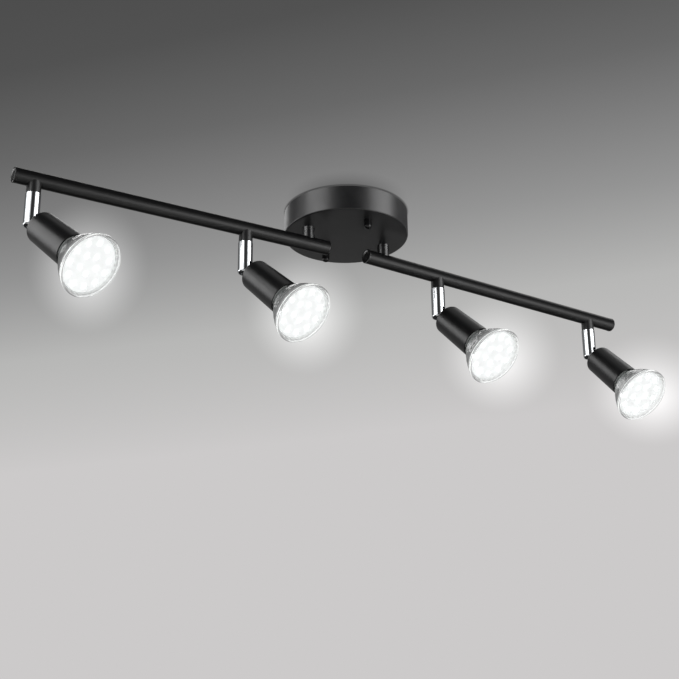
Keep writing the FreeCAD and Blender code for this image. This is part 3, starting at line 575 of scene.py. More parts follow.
# %% [markdown]
# ### Chrome plate
#
# The stems and knuckles are turned brass, polished, then plated with nickel and a thin skin of
# chromium. A metal's colour is its reflection, so the base colour is that of chromium, slightly
# blue, and the metallic value is 1. Buffing leaves hair-fine rings round a turned part; they are
# drawn 0.3 mm apart, coarser than real ones, so that they can show up close.

# %% Chrome and other metals
WAVE_PERIOD = 0.314  # the width of one band of a wave texture whose scale is 1


def plated_metal(name, hex_colour, roughness, ring_width, ring_height):
    """A bright metal with fine turning rings round its upright axis."""
    material, tree = new_material(name)
    rings = add_node(tree, "ShaderNodeTexWave", {
        "Vector": object_place(tree),
        "Scale": WAVE_PERIOD / (ring_width * MM),
        "Distortion": 0.6,
        "Detail": 2.0,
    }, bands_direction="Z")
    smear = spread(tree, blotches(tree, 4.0, 3.0), roughness * 0.8, roughness * 1.3)
    finish_surface(tree, {
        "Base Color": linear(hex_colour),
        "Metallic": 1.0,
        "Roughness": smear,
        "Normal": relief(tree, rings.outputs["Fac"], ring_height),
    })
    return material


chrome = plated_metal("chrome_plated_brass", "#e9ecef", 0.06, 0.3, 0.0004)
screw_steel = plated_metal("stainless_screw_steel", "#c3c4c6", 0.28, 0.25, 0.004)
brass = plated_metal("turned_brass", "#c9a256", 0.24, 0.25, 0.004)
dress(chrome, *each_head("stem"), *each_head("knuckle"))
dress(screw_steel, *each_head("pivot_screw"))
dress(brass, "earth_screw")

# %% [markdown]
# ### Zinc plate
#
# The bracket, studs, nuts and hollow bolts are stamped or turned from mild steel and zinc plated.
# The bath leaves a crystal pattern, small patches that are each slightly lighter or darker, under
# a thin clear chromate film. A cell pattern with patches 1.6 mm wide gives that, in tint and gloss.

# %% Zinc plate
zinc, tree = new_material("zinc_plated_steel")
crystals = add_node(tree, "ShaderNodeTexVoronoi", {
    "Vector": object_place(tree),
    "Scale": 1 / (1.6 * MM),
})
patch = add_node(tree, "ShaderNodeSeparateColor", [crystals.outputs["Color"]])
patch_gloss = add_node(tree, "ShaderNodeMapRange", {
    "Value": patch.outputs["Green"],
    "To Min": 0.42,
    "To Max": 0.56,
})
finish_surface(tree, {
    "Base Color": two_tints(tree, patch, "#9da1a4", "#bcbfc1"),
    "Metallic": 1.0,
    "Roughness": patch_gloss,
    "Normal": relief(tree, blotches(tree, 0.5), 0.004),
})
dress(zinc, "mounting_bracket", "canopy_studs", *each_head("swivel_bolt"),
      *each_arm("nipple"), *each_arm("pivot_nut"))

# %% [markdown]
# ### Plastics and ceramic
#
# Moulded plastics share one build: a body colour that varies a little where the melt flowed, and
# the fine grain of a spark-eroded mould. What differs is the polymer. The terminal block is white
# polyamide and lets some light in; the wires are soft PVC; the lamp's base is PBT; the end caps are
# black ABS. The socket is pressed steatite, a dense fired ceramic with a dry, speckled skin.

# %% Plastics and ceramic
def moulded(name, hex_colour, second_colour, roughness, index, grain_width, grain_height, depth=0):
    """A moulded or pressed body: two close tints, grain, and light that enters by depth in mm."""
    material, tree = new_material(name)
    flow = spread(tree, blotches(tree, 5.0, 3.0), 0.0, 1.0)
    finish_surface(tree, {
        "Base Color": two_tints(tree, flow, hex_colour, second_colour),
        "Roughness": roughness,
        "IOR": index,
        "Subsurface Weight": 0.3 if depth else 0.0,
        "Subsurface Radius": (1, 1, 1),
        "Subsurface Scale": depth * MM,
        "Normal": relief(tree, blotches(tree, grain_width), grain_height),
    })
    return material


polyamide = moulded("white_polyamide_block", "#e6e3da", "#dcd8cd", 0.42, 1.53, 0.5, 0.010, depth=1)
pbt = moulded("white_pbt_lamp_base", "#e4e4e1", "#dadad6", 0.40, 1.55, 0.5, 0.008, depth=0.6)
abs_black = moulded("black_abs_end_cap", "#161617", "#1c1c1d", 0.24, 1.54, 0.6, 0.003)
steatite = moulded("pressed_steatite_ceramic", "#dcd8cc", "#cfcabb", 0.62, 1.6, 0.35, 0.020)
dress(polyamide, "terminal_block")
dress(pbt, *each_head("lamp_base"))
dress(abs_black, *each_arm("end_caps"))
dress(steatite, *each_head("socket"))

# %% [markdown]
# ### Glass
#
# The reflector bell and the lens are pressed soda-lime glass. Glass has almost no colour of its
# own: it lets light through, bends it and mirrors a little of it at each face. The mould leaves a
# slow waviness, which bends the reflections. Light from the LEDs that enters the glass is led on
# inside it and leaves at its rim, so a lit lamp's rim glows; an attribute called spill says where.

# %% Glass
def spilt_light(tree, least, most):
    """A glow that goes from least to most with the spill that is kept on the mesh."""
    spill = add_node(tree, "ShaderNodeAttribute", attribute_name="spill")
    return add_node(tree, "ShaderNodeMapRange", {
        "Value": spill.outputs["Fac"],
        "To Min": least,
        "To Max": most,
    })


def pressed_glass(name, hex_colour, roughness, wave_width, wave_height, rim_glow):
    """Clear soda-lime glass with a slow mould wave, glowing by rim_glow where its spill is 1."""
    material, tree = new_material(name)
    finish_surface(tree, {
        "Base Color": linear(hex_colour),
        "Roughness": roughness,
        "IOR": 1.52,
        "Transmission Weight": 1.0,
        "Emission Color": linear("#ffffff"),
        "Emission Strength": spilt_light(tree, 0.0, rim_glow),
        "Normal": relief(tree, blotches(tree, wave_width), wave_height),
    })
    return material


bell_glass = pressed_glass("pressed_soda_lime_glass_bell", "#f6f9f8", 0.03, 2.5, 0.03, 0.16)
lens_glass = pressed_glass("clear_soda_lime_glass_lens", "#fbfcfc", 0.02, 4.0, 0.01, 0.0)
dress(lens_glass, *each_head("lamp_lens"))

# %% [markdown]
# ### Wire insulation
#
# The conductors are insulated with extruded PVC, soft and slightly waxy. Extrusion leaves it
# smooth, so only a broad unevenness of its gloss tells it from a hard plastic.

# %% Wire insulation
pvc = moulded("extruded_pvc_insulation", "#e2ded6", "#d6d1c7", 0.36, 1.53, 1.2, 0.006, depth=0.4)
dress(pvc, *each_arm("wires"))

# %% [markdown]
# ## Tools for the fine pieces
#
# Two ways make the fine pieces. What is round is turned: a section drawn from the axis outwards is
# spun once round z.

# %% Turning
def plain_mesh(name, shape):
    """The mesh of a shape that was drawn in mesh code."""
    mesh = bpy.data.meshes.new(name)
    shape.to_mesh(mesh)
    shape.free()
    return mesh


def turned_mesh(name, section, steps=64, closed=False):
    """A section of (radius, height) spun round z; closed joins its last point to its first."""
    shape = bmesh.new()
    points = [shape.verts.new((radius, 0, height)) for radius, height in section]
    onwards = points[1:] + points[:1] if closed else points[1:]
    edges = [shape.edges.new(pair) for pair in zip(points, onwards)]
    bmesh.ops.spin(shape, geom=points + edges, cent=(0, 0, 0), axis=(0, 0, 1),
                   angle=2 * math.pi, steps=steps, use_merge=True)
    bmesh.ops.remove_doubles(shape, verts=shape.verts, dist=0.001 * MM)
    bmesh.ops.recalc_face_normals(shape, faces=shape.faces)
    return plain_mesh(name, shape)


def rounded(centre, radius, start, end, steps=4):
    """Points of an arc of a section, from one angle to another in degrees."""
    angles = [math.radians(start + (end - start) * step / steps) for step in range(steps + 1)]
    return [(centre[0] + radius * math.cos(a), centre[1] + radius * math.sin(a)) for a in angles]


def crease(mesh, degrees):
    """Smooth shading, except across edges that bend by more than an angle."""
    mesh.shade_smooth()
    mesh.set_sharp_from_angle(angle=math.radians(degrees))


print("a rounded edge has", len(rounded((0, 0), 1, 0, 90)), "points")

# %% Growing
def new_tree(name, counts, lengths):
    """A tree and its inputs: a start shape, named counts and named lengths."""
    tree = bpy.data.node_groups.new(name, "GeometryNodeTree")
    for kind, labels in {"Geometry": ["Start"], "Int": counts, "Float": lengths}.items():
        for label in labels:
            tree.interface.new_socket(label, in_out="INPUT", socket_type="NodeSocket" + kind)
    tree.interface.new_socket("Shape", in_out="OUTPUT", socket_type="NodeSocketGeometry")
    return tree, add_node(tree, "NodeGroupInput").outputs


def finish_tree(tree, shape, material):
    """Ends a tree: instances become real faces and get their material."""
    real = add_node(tree, "GeometryNodeRealizeInstances", {"Geometry": shape})
    painted = add_node(tree, "GeometryNodeSetMaterial", {"Geometry": real, "Material": material})
    add_node(tree, "NodeGroupOutput", {"Shape": painted})


def grow(name, tree, start, sizes):
    """Runs a tree once on a start mesh and gives the result as a plain mesh."""
    seed = new_object(name, start)
    modifier = seed.modifiers.new(name, "NODES")
    modifier.node_group = tree
    for socket in tree.interface.items_tree:
        if socket.name in sizes:
            modifier[socket.identifier] = sizes[socket.name]
    grown = seed.evaluated_get(bpy.context.evaluated_depsgraph_get())
    mesh = bpy.data.meshes.new_from_object(grown)
    mesh.name = name
    finish = mesh.materials[-1]
    mesh.materials.clear()
    mesh.materials.append(finish)
    mesh.polygons.foreach_set("material_index", [0] * len(mesh.polygons))
    bpy.data.objects.remove(seed)
    return mesh


def add_piece(name, mesh, body, slot, *replaced):
    piece = new_object(name, mesh)
    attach(piece, body)
    if replaced:
        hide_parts(*replaced)


print("helpers ready: new_tree, finish_tree, grow and add_piece")

# %% [markdown]
# ## Lamps
#
# The four lamps are alike, so each piece is drawn once, upright, with z along the lamp from its
# tilt joint, and then placed on every head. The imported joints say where: the twist joint gives the
# lamp's axis, and the tilt joint the direction across it.

# %% Lamp places
def lamp_place(number):
    """The matrix from a lamp's own axes to the fixture's."""
    twist = joints[f"head_{number}_lamp_twist"]
    along = Vector(twist["axis"])
    across = -Vector(joints[f"head_{number}_tilt"]["axis"])
    turn = Matrix((across, along.cross(across), along)).transposed()
    return Matrix.Translation(twist["pos_m"]) @ turn.to_4x4()


def on_each_lamp(piece, mesh, slot, *replaced):
    """Places a copy of a lamp piece on every head, in place of a CAD node where one is named."""
    for number in HEADS:
        copy = mesh.copy()
        copy.transform(lamp_place(number))
        names = [f"head_{number}_{node}" for node in replaced]
        add_piece(f"head_{number}_{piece}", copy, f"head_{number}_lamp", slot, *names)
    print(piece, "on", len(HEADS), "lamps,", len(mesh.polygons), "faces each")


print("lamp 1 has its origin at", [round(place, 4) for place in lamp_place(1).translation])

# %% [markdown]
# ### Faceted glass bell
#
# The bell is a pressed reflector: staggered rows of small pillows cover its outside, and each one
# catches a different part of the room, so the glass sparkles instead of looking like a bottle. It
# could be sculpted facet by facet, but the pillows follow a rule, so a tree makes them. It sweeps
# the wall's section round the rim, turns its faces outwards, finds the column and the row of each
# point, and swells the outside of the wall by the product of two sines. The thick rim in front
# stays smooth and rounded. Inside the glass sits a spun aluminium cup that spreads the LEDs' heat;
# through the facets it looks like broken silver.

# %% Bell section
NECK_BACK = 41.55 * MM
BELL_START = 56.55 * MM
RIM_BACK = 79.35 * MM
RIM_FRONT = 81.95 * MM
NECK_RADIUS = 10.8 * MM
NECK_INSIDE = 9.9 * MM
BELL_RADIUS = 24.4 * MM
RIM_RADIUS = 25.0 * MM
RIM_INSIDE = 23.7 * MM
BELL_CURVE = 78.0 * MM
EDGE_ROUND = 0.3 * MM
RIM_ROUND = 0.9 * MM
FACET_ROWS = 6
FACET_COLUMNS = 30
FACET_STEPS = 4
FACET_HEIGHT = 0.35 * MM
FACET_FULLNESS = 0.6


def bell_wall(steps):
    """Points of the bell's outside, an arc that bulges outwards from the neck to the rim."""
    start, end = Vector((NECK_RADIUS, BELL_START)), Vector((BELL_RADIUS, RIM_BACK))
    chord = end - start
    inwards = Vector((-chord.y, chord.x)).normalized()
    centre = (start + end) / 2 + inwards * math.sqrt(BELL_CURVE ** 2 - (chord.length / 2) ** 2)
    first, last = [math.degrees(math.atan2(*reversed(point - centre))) for point in (start, end)]
    return rounded(centre, BELL_CURVE, first, last, steps)


bell_section = [(NECK_INSIDE, NECK_BACK), (NECK_RADIUS, NECK_BACK)]
bell_section += bell_wall(FACET_ROWS * FACET_STEPS)
bell_section += rounded((RIM_RADIUS - EDGE_ROUND, RIM_BACK + EDGE_ROUND), EDGE_ROUND, -90, 0)
bell_section += rounded((RIM_RADIUS - RIM_ROUND, RIM_FRONT - RIM_ROUND), RIM_ROUND, 0, 90, 6)
bell_section += rounded((RIM_INSIDE + EDGE_ROUND, RIM_FRONT - EDGE_ROUND), EDGE_ROUND, 90, 180)
bell_section += [(RIM_INSIDE, RIM_BACK), (NECK_INSIDE, BELL_START)]
print(len(bell_section), "points in the bell's section")

# %% Facet tree
tree, given = new_tree(
    "faceted_bell",
    ("Columns", "Column Steps", "Rows"),
    ("Sweep Radius", "Bell Start", "Bell End", "Facet Height"),
)
rim_line = add_node(tree, "GeometryNodeCurvePrimitiveCircle", {
    "Resolution": add_node(tree, "ShaderNodeMath", [
        given["Columns"],
        given["Column Steps"],
    ], operation="MULTIPLY"),
    "Radius": given["Sweep Radius"],
})
swept = add_node(tree, "GeometryNodeCurveToMesh", {
    "Curve": rim_line,
    "Profile Curve": add_node(tree, "GeometryNodeMeshToCurve", {"Mesh": given["Start"]}),
})
wall = add_node(tree, "GeometryNodeFlipFaces", {"Mesh": swept})
spot = add_node(tree, "GeometryNodeInputPosition")
axes = add_node(tree, "ShaderNodeSeparateXYZ", [spot])
row = add_node(tree, "ShaderNodeMapRange", {
    "Value": axes.outputs["Z"],
    "From Min": given["Bell Start"],
    "From Max": given["Bell End"],
    "To Max": given["Rows"],
})
turn = add_node(tree, "ShaderNodeMath", [
    axes.outputs["Y"],
    axes.outputs["X"],
], operation="ARCTAN2")
turns = add_node(tree, "ShaderNodeMath", [turn, 2 * math.pi], operation="DIVIDE")
whole_row = add_node(tree, "ShaderNodeMath", [row], operation="FLOOR")
stagger = add_node(tree, "ShaderNodeMath", [whole_row, 0.5], operation="MULTIPLY")
column = add_node(tree, "ShaderNodeMath", [
    turns,
    given["Columns"],
    stagger,
], operation="MULTIPLY_ADD")
waves = []
for phase in (column, row):
    angle = add_node(tree, "ShaderNodeMath", [phase, math.pi], operation="MULTIPLY")
    sine = add_node(tree, "ShaderNodeMath", [angle], operation="SINE")
    waves.append(add_node(tree, "ShaderNodeMath", [sine], operation="ABSOLUTE"))
product = add_node(tree, "ShaderNodeMath", waves, operation="MULTIPLY")
pillow = add_node(tree, "ShaderNodeMath", [product, FACET_FULLNESS], operation="POWER")
normal = add_node(tree, "GeometryNodeInputNormal")
swell = add_node(tree, "ShaderNodeVectorMath", {
    0: normal,
    "Scale": add_node(tree, "ShaderNodeMath", [
        pillow,
        given["Facet Height"],
    ], operation="MULTIPLY"),
}, operation="SCALE")
flat_spot = add_node(tree, "ShaderNodeVectorMath", [spot, (1, 1, 0)], operation="MULTIPLY")
outwards = add_node(tree, "ShaderNodeVectorMath", [flat_spot, normal], operation="DOT_PRODUCT")
outside = add_node(tree, "FunctionNodeCompare", [
    outwards.outputs["Value"],
    0.0,
], operation="GREATER_THAN")
faceted = add_node(tree, "GeometryNodeSetPosition", {
    "Geometry": wall,
    "Selection": outside,
    "Offset": swell,
})
finish_tree(tree, faceted, bell_glass)
print("facet tree has", len(tree.nodes), "nodes")

# %% Bells
SPILL_START = 77.0 * MM
BELL_SPILL = 0.22


def store_spill(mesh, rule):
    """Keeps how much LED light reaches each point of a lamp piece, from 0 to 1, on its mesh."""
    values = mesh.attributes.new("spill", "FLOAT", "POINT")
    for vertex, value in zip(mesh.vertices, values.data):
        value.value = min(max(rule(vertex.co), 0.0), 1.0)


section_mesh = bpy.data.meshes.new("bell_section")
count = len(bell_section)
section_mesh.from_pydata(
    [(radius - RIM_RADIUS, -height, 0) for radius, height in bell_section],
    [((index + 1) % count, index) for index in range(count)],
    [],
)
bell = grow("bell", tree, section_mesh, {
    "Columns": FACET_COLUMNS,
    "Column Steps": FACET_STEPS,
    "Rows": FACET_ROWS,
    "Sweep Radius": RIM_RADIUS,
    "Bell Start": BELL_START,
    "Bell End": RIM_BACK,
    "Facet Height": FACET_HEIGHT,
})
crease(bell, 28)
store_spill(bell, lambda place: BELL_SPILL + (place.z - SPILL_START) / (RIM_FRONT - SPILL_START))
on_each_lamp("reflector_bell", bell, "lamp_glass", "lamp_glass")

# %% Heat cup
CUP_GAP = 0.15 * MM
CUP_WALL = 0.4 * MM
CUP_BACK = 57.0 * MM
CUP_FRONT = 76.3 * MM


def bell_inside(height):
    """The radius of the bell's straight inner wall at a height."""
    share = (height - BELL_START) / (RIM_BACK - BELL_START)
    return NECK_INSIDE + share * (RIM_INSIDE - NECK_INSIDE)


spun_aluminium = plated_metal("spun_aluminium_cup", "#dfe1e2", 0.30, 0.5, 0.01)
outside = [(bell_inside(z) - CUP_GAP, z) for z in (CUP_BACK, CUP_FRONT)]
inside = [(radius - CUP_WALL, z) for radius, z in reversed(outside)]
cup = turned_mesh("cup", outside + inside, steps=72, closed=True)
crease(cup, 30)
cup.materials.append(spun_aluminium)
on_each_lamp("heat_cup", cup, "chrome")

# %% [markdown]
# ### LED board
#
# Behind the lens sits a round aluminium board under white solder lacquer, with two rings of square
# LEDs. When the lamp is lit, each LED's phosphor is far brighter than anything round it, and the
# lacquer next to it glows with its spill. The spill falls with the distance to the nearest LED
# and is kept on the mesh, as it was for the glass, so the glow stays put from every side.

# %% Lit finishes
lacquer, tree = new_material("white_solder_lacquer_lit")
finish_surface(tree, {
    "Base Color": linear("#eceeee"),
    "Roughness": 0.35,
    "IOR": 1.55,
    "Emission Color": linear("#fdfdff"),
    "Emission Strength": spilt_light(tree, 0.36, 0.60),
    "Normal": relief(tree, blotches(tree, 0.8), 0.01),
})

phosphor, tree = new_material("led_phosphor_lit")
finish_surface(tree, {
    "Base Color": linear("#e9e2a8"),
    "Roughness": 0.5,
    "IOR": 1.41,
    "Emission Color": linear("#fffefa"),
    "Emission Strength": spread(tree, blotches(tree, 0.4), 2.4, 2.8),
})

package, tree = new_material("white_ppa_led_package_lit")
finish_surface(tree, {
    "Base Color": linear("#f0f0ec"),
    "Roughness": 0.45,
    "IOR": 1.53,
    "Emission Color": linear("#ffffff"),
    "Emission Strength": 1.0,
    "Normal": relief(tree, blotches(tree, 0.3), 0.004),
})
print("lit:", lacquer.name, phosphor.name, package.name)

# %% LED rings
BOARD_BACK = 76.64 * MM
BOARD_FRONT = 77.84 * MM
BOARD_RADIUS = 22.0 * MM
BOARD_EDGE = 0.15 * MM
BOARD_RINGS = 20
LED_RINGS = ((17.0 * MM, 11), (7.5 * MM, 5))
SPILL_REACH = 3.2 * MM

led_places = [Matrix.Rotation(2 * math.pi * number / count, 3, "Z") @ Vector((radius, 0, 0))
              for radius, count in LED_RINGS for number in range(count)]
rings = [BOARD_RADIUS * step / BOARD_RINGS for step in range(BOARD_RINGS)]
board = turned_mesh("board", [
    (0, BOARD_BACK),
    (BOARD_RADIUS, BOARD_BACK),
    (BOARD_RADIUS, BOARD_FRONT - BOARD_EDGE),
    (BOARD_RADIUS - BOARD_EDGE, BOARD_FRONT),
    *[(radius, BOARD_FRONT) for radius in reversed(rings)],
], steps=90)
crease(board, 30)


def led_spill(place):
    """How bright the lacquer is at a place, from its distance to the nearest LED."""
    gap = min((Vector((*place.xy, 0)) - led).length for led in led_places)
    return math.exp(-(gap / SPILL_REACH) ** 2)


store_spill(board, led_spill)
board.materials.append(lacquer)
on_each_lamp("board", board, "led_board", "led_board")

# %% One LED
LED_WIDTH = 3.0 * MM
LED_TOP = BOARD_FRONT + 0.62 * MM
LED_EDGE = 0.16 * MM
DOME_RADIUS = 1.2 * MM

led = bmesh.new()
bmesh.ops.create_cube(led, size=LED_WIDTH)
for vertex in led.verts:
    vertex.co.z = LED_TOP if vertex.co.z > 0 else BOARD_FRONT
bmesh.ops.bevel(led, geom=led.edges[:], offset=LED_EDGE, segments=2, affect="EDGES")
led_mesh = plain_mesh("led_package", led)
dome_mesh = turned_mesh("led_dome", [
    (0, LED_TOP - 0.1 * MM),
    (DOME_RADIUS, LED_TOP - 0.1 * MM),
    (DOME_RADIUS, LED_TOP + 0.02 * MM),
    (DOME_RADIUS * 2 / 3, LED_TOP + 0.12 * MM),
    (0, LED_TOP + 0.16 * MM),
], steps=20)
print("one LED has", len(led_mesh.polygons) + len(dome_mesh.polygons), "faces")

# %% [markdown]
# One LED is drawn in mesh code, a bevelled package and a dome of phosphor, and a tree repeats each
# round a ring: a circle of points carries the copies, and each copy is turned to face outwards.

# %% Ring tree
def ring_tree(name, material):
    """A tree that repeats its start shape round z."""
    tree, given = new_tree(name, ("Count",), ("Ring Radius",))
    ring = add_node(tree, "GeometryNodeMeshCircle", {
        "Vertices": given["Count"],
        "Radius": given["Ring Radius"],
    })
    place = add_node(tree, "ShaderNodeSeparateXYZ", [add_node(tree, "GeometryNodeInputPosition")])
    turn = add_node(tree, "ShaderNodeMath", [
        place.outputs["Y"],
        place.outputs["X"],
    ], operation="ARCTAN2")
    copies = add_node(tree, "GeometryNodeInstanceOnPoints", {
        "Points": ring,
        "Instance": given["Start"],
        "Rotation": add_node(tree, "ShaderNodeCombineXYZ", {"Z": turn}),
    })
    finish_tree(tree, copies, material)
    return tree


def joined(name, *meshes):
    """Several plain meshes as one, each part keeping its material."""
    shape = bmesh.new()
    materials = list(dict.fromkeys(mesh.materials[0] for mesh in meshes))
    for mesh in meshes:
        first = len(shape.faces)
        shape.from_mesh(mesh)
        shape.faces.ensure_lookup_table()
        for face in shape.faces[first:]:
            face.material_index = materials.index(mesh.materials[0])
    whole = plain_mesh(name, shape)
    for material in materials:
        whole.materials.append(material)
    return whole


led_parts = []
for part, material in ((led_mesh, package), (dome_mesh, phosphor)):
    tree = ring_tree(part.name + "_ring", material)
    for radius, count in LED_RINGS:
        led_parts.append(grow(part.name, tree, part, {"Count": count, "Ring Radius": radius}))
leds = joined("leds", *led_parts)
crease(leds, 40)
on_each_lamp("leds", leds, "led_board")

# %% [markdown]
# ## End caps
#
# Each tube is closed by two moulded ABS plugs. A mould can't make a dead sharp edge, so the rim is
# rounded and the face is dished a little inside it; the round edge is what draws the thin bright
# ring. The caps are turned and pushed in where the CAD caps of the same arm end.

# %% End caps
CAP_RIM = 6.13 * MM
CAP_PLUG = 5.17 * MM
CAP_THICKNESS = 1.0 * MM
CAP_DEPTH = 4.0 * MM
CAP_ROUND = 0.4 * MM
CAP_TAPER = 0.5 * MM
CAP_LIP = 1.2 * MM


def cap_mesh():
    """A plug with its face towards +z and the tube's end at z = 0."""
    rim = rounded((CAP_RIM - CAP_ROUND, CAP_THICKNESS - CAP_ROUND), CAP_ROUND, 0, 90, 5)
    lip = CAP_RIM - CAP_LIP
    mesh = turned_mesh("cap", [
        (0, -CAP_DEPTH),
        (CAP_PLUG - CAP_TAPER, -CAP_DEPTH),
        (CAP_PLUG, CAP_TAPER - CAP_DEPTH),
        (CAP_PLUG, 0),
        (CAP_RIM, 0),
        *rim,
        (lip, CAP_THICKNESS),
        (lip - 0.3 * MM, CAP_THICKNESS - 0.2 * MM),
        (lip - 2.0 * MM, CAP_THICKNESS - 0.3 * MM),
        (0, CAP_THICKNESS - 0.35 * MM),
    ])
    mesh.materials.append(abs_black)
    return mesh


for side, far_head in zip(SIDES, (1, 4)):
    node = nodes[f"arm_{side}_end_caps"]
    post = Vector(joints[f"arm_{side}_swing"]["pos_m"])
    along = Vector(joints[f"head_{far_head}_swivel"]["pos_m"]) - post
    along = Vector((along.x, along.y, 0)).normalized()
    reaches = [along.dot(vertex.co - post) for vertex in node.data.vertices]
    ends = []
    for reach, outwards in ((max(reaches), along), (min(reaches), -along)):
        face = post + along * reach - outwards * CAP_THICKNESS
        ends.append(cap_mesh())
        ends[-1].transform(placing(face, outwards))
    caps = joined("caps", *ends)
    crease(caps, 40)
    add_piece(f"arm_{side}_rounded_caps", caps, "arm_" + side, "end_cap_plastic", node.name)
    print(side, "arm is", round((max(reaches) - min(reaches)) * 1000, 1), "mm long over its caps")

# %% [markdown]
# ## Terminal screws and clamps
#
# The block's six slotted brass screws and three clamp sleeves sit in its holes. A screw and a
# sleeve are drawn once, and a tree repeats them on a grid laid over the block.

# %% Grid tree
tree, given = new_tree("on_a_grid", ("Across", "Deep"), ("Across Pitch", "Deep Pitch"))
widths = []
for way in ("Across", "Deep"):
    gaps = add_node(tree, "ShaderNodeMath", [given[way], 1.0], operation="SUBTRACT")
    widths.append(add_node(tree, "ShaderNodeMath", [
        gaps,
        given[way + " Pitch"],
    ], operation="MULTIPLY"))
grid = add_node(tree, "GeometryNodeMeshGrid", {
    "Size X": widths[0],
    "Size Y": widths[1],
    "Vertices X": given["Across"],
    "Vertices Y": given["Deep"],
})
copies = add_node(tree, "GeometryNodeInstanceOnPoints", {
    "Points": grid,
    "Instance": given["Start"],
})
finish_tree(tree, copies, brass)
grid_tree = tree
print("grid tree has", len(tree.nodes), "nodes")

# %% Terminal metal
POLES = 3
POLE_PITCH = 9.0 * MM
SCREW_PITCH = 7.5 * MM
SCREW_RADIUS = 1.7 * MM
SCREW_LENGTH = 1.9 * MM
SCREW_EDGE = 0.2 * MM
SCREW_SUNK = 0.8 * MM
block_low, block_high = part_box("terminal_block")
block_middle = (block_low + block_high) / 2

tree, given = new_tree("slotted_screw", (), ("Slot Width", "Slot Depth"))
slot_size = add_node(tree, "ShaderNodeCombineXYZ", {
    "X": 10 * MM,
    "Y": given["Slot Width"],
    "Z": add_node(tree, "ShaderNodeMath", [given["Slot Depth"], 2.0], operation="MULTIPLY"),
})
notched = add_node(tree, "GeometryNodeMeshBoolean", {
    "Mesh 1": given["Start"],
    "Mesh 2": add_node(tree, "GeometryNodeMeshCube", {"Size": slot_size}),
}, operation="DIFFERENCE")
finish_tree(tree, notched, brass)
plain_screw = turned_mesh("screw", [
    (0, -SCREW_LENGTH),
    (SCREW_RADIUS, -SCREW_LENGTH),
    (SCREW_RADIUS, -SCREW_EDGE),
    (SCREW_RADIUS - SCREW_EDGE, 0),
    (0, 0),
], steps=24)
screw = grow("slotted_screw", tree, plain_screw, {"Slot Width": 0.6 * MM, "Slot Depth": 0.7 * MM})
print("a slotted screw has", len(screw.polygons), "faces")

# %% Terminal pieces
SLEEVE_BORE = 1.25 * MM
SLEEVE_RADIUS = 1.58 * MM
SLEEVE_HALF = 6.9 * MM

sleeve = turned_mesh("sleeve", [
    (SLEEVE_BORE, -SLEEVE_HALF),
    (SLEEVE_RADIUS, -SLEEVE_HALF),
    (SLEEVE_RADIUS, SLEEVE_HALF),
    (SLEEVE_BORE, SLEEVE_HALF),
], steps=24, closed=True)
sleeve.transform(Matrix.Rotation(math.pi / 2, 4, "X"))
screw_place = Vector((*block_middle.xy, block_high.z - SCREW_SUNK))
for name, start, rows, place in (
    ("terminal_screws", screw, 2, screw_place),
    ("clamp_sleeves", sleeve, 1, block_middle),
):
    mesh = grow(name, grid_tree, start, {
        "Across": POLES,
        "Deep": rows,
        "Across Pitch": POLE_PITCH,
        "Deep Pitch": SCREW_PITCH,
    })
    mesh.transform(Matrix.Translation(place))
    crease(mesh, 30)
    add_piece(name, mesh, "root", "brass")
print("terminal metal in place at", [round(place, 4) for place in block_middle])

# %% [markdown]
# ## Screw threads
#
# The canopy studs and the hollow nipples are threaded. A thread is a ridge that climbs round a
# core at a steady pitch, which is what a spiral curve with a profile gives. The ridge is laid on
# the CAD core only where it can be seen, between the parts that it holds together.

# %% Thread tree
RIDGE = 0.16 * MM

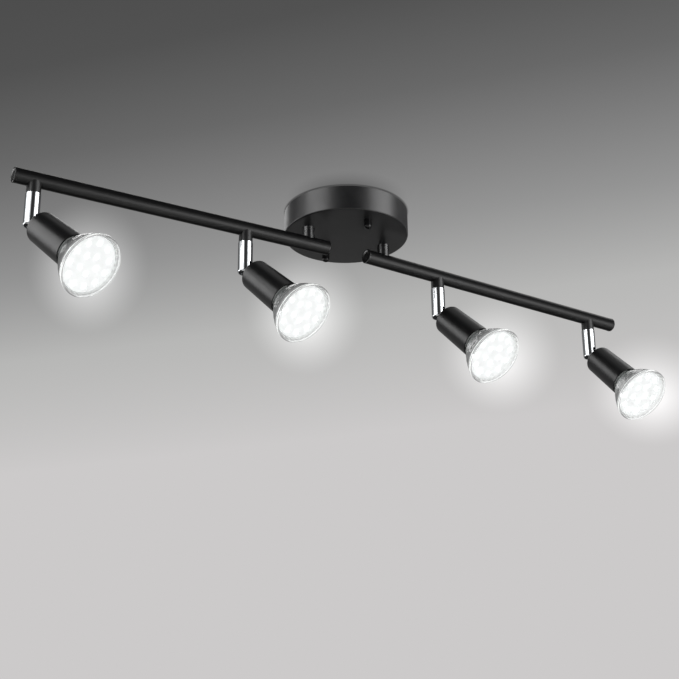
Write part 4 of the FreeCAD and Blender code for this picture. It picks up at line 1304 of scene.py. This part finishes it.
tree, given = new_tree("screw_thread", (), ("Core Radius", "Pitch", "Length", "Ridge"))
spiral = add_node(tree, "GeometryNodeCurveSpiral", {
    "Resolution": 28,
    "Rotations": add_node(tree, "ShaderNodeMath", [
        given["Length"],
        given["Pitch"],
    ], operation="DIVIDE"),
    "Start Radius": given["Core Radius"],
    "End Radius": given["Core Radius"],
    "Height": given["Length"],
})
wound = add_node(tree, "GeometryNodeCurveToMesh", {
    "Curve": spiral,
    "Profile Curve": add_node(tree, "GeometryNodeCurvePrimitiveCircle", {
        "Resolution": 4,
        "Radius": given["Ridge"],
    }),
    "Fill Caps": True,
})
finish_tree(tree, wound, zinc)
print("thread tree has", len(tree.nodes), "nodes")


def thread(core_radius, pitch, length, start):
    """A ridge wound round an upright core, upwards from a place."""
    mesh = grow("thread", tree, bpy.data.meshes.new("thread_start"), {
        "Core Radius": core_radius,
        "Pitch": pitch,
        "Length": length,
        "Ridge": RIDGE,
    })
    mesh.transform(Matrix.Translation(start))
    return mesh

# %% Threads
STUD_RADIUS = 1.75 * MM
STUD_PITCH = 0.7 * MM
STUD_HEAD = 3.25 * MM
NIPPLE_RADIUS = 3.0 * MM
NIPPLE_PITCH = 0.75 * MM
THREAD_GAP = 0.2 * MM
BRACKET_GAP = 0.4 * MM
CANOPY_WALL = 1.2 * MM

bracket_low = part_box("mounting_bracket")[0].z
stud_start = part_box("cap_nuts")[1].z + CANOPY_WALL + THREAD_GAP
stud_reach = bracket_low - BRACKET_GAP - stud_start
stud_low, stud_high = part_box("canopy_studs")
stud_places = (stud_high.y - STUD_HEAD, stud_low.y + STUD_HEAD)
threads = joined("stud_threads", *[
    thread(STUD_RADIUS, STUD_PITCH, stud_reach, (0, y, stud_start)) for y in stud_places
])
add_piece("stud_threads", threads, "root", "zinc_steel")
print("stud threads at y =", [round(y * 1000, 2) for y in stud_places], "mm")

for side in SIDES:
    nut_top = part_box(f"arm_{side}_pivot_nut")[1].z
    nipple_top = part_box(f"arm_{side}_nipple")[1].z
    post = Vector(joints[f"arm_{side}_swing"]["pos_m"])
    reach = nipple_top - nut_top - 2 * THREAD_GAP
    ridge = thread(NIPPLE_RADIUS, NIPPLE_PITCH, reach, (post.x, post.y, nut_top + THREAD_GAP))
    add_piece(f"arm_{side}_nipple_thread", ridge, "arm_" + side, "zinc_steel")
    print(side, "nipple thread has", len(ridge.polygons), "faces")
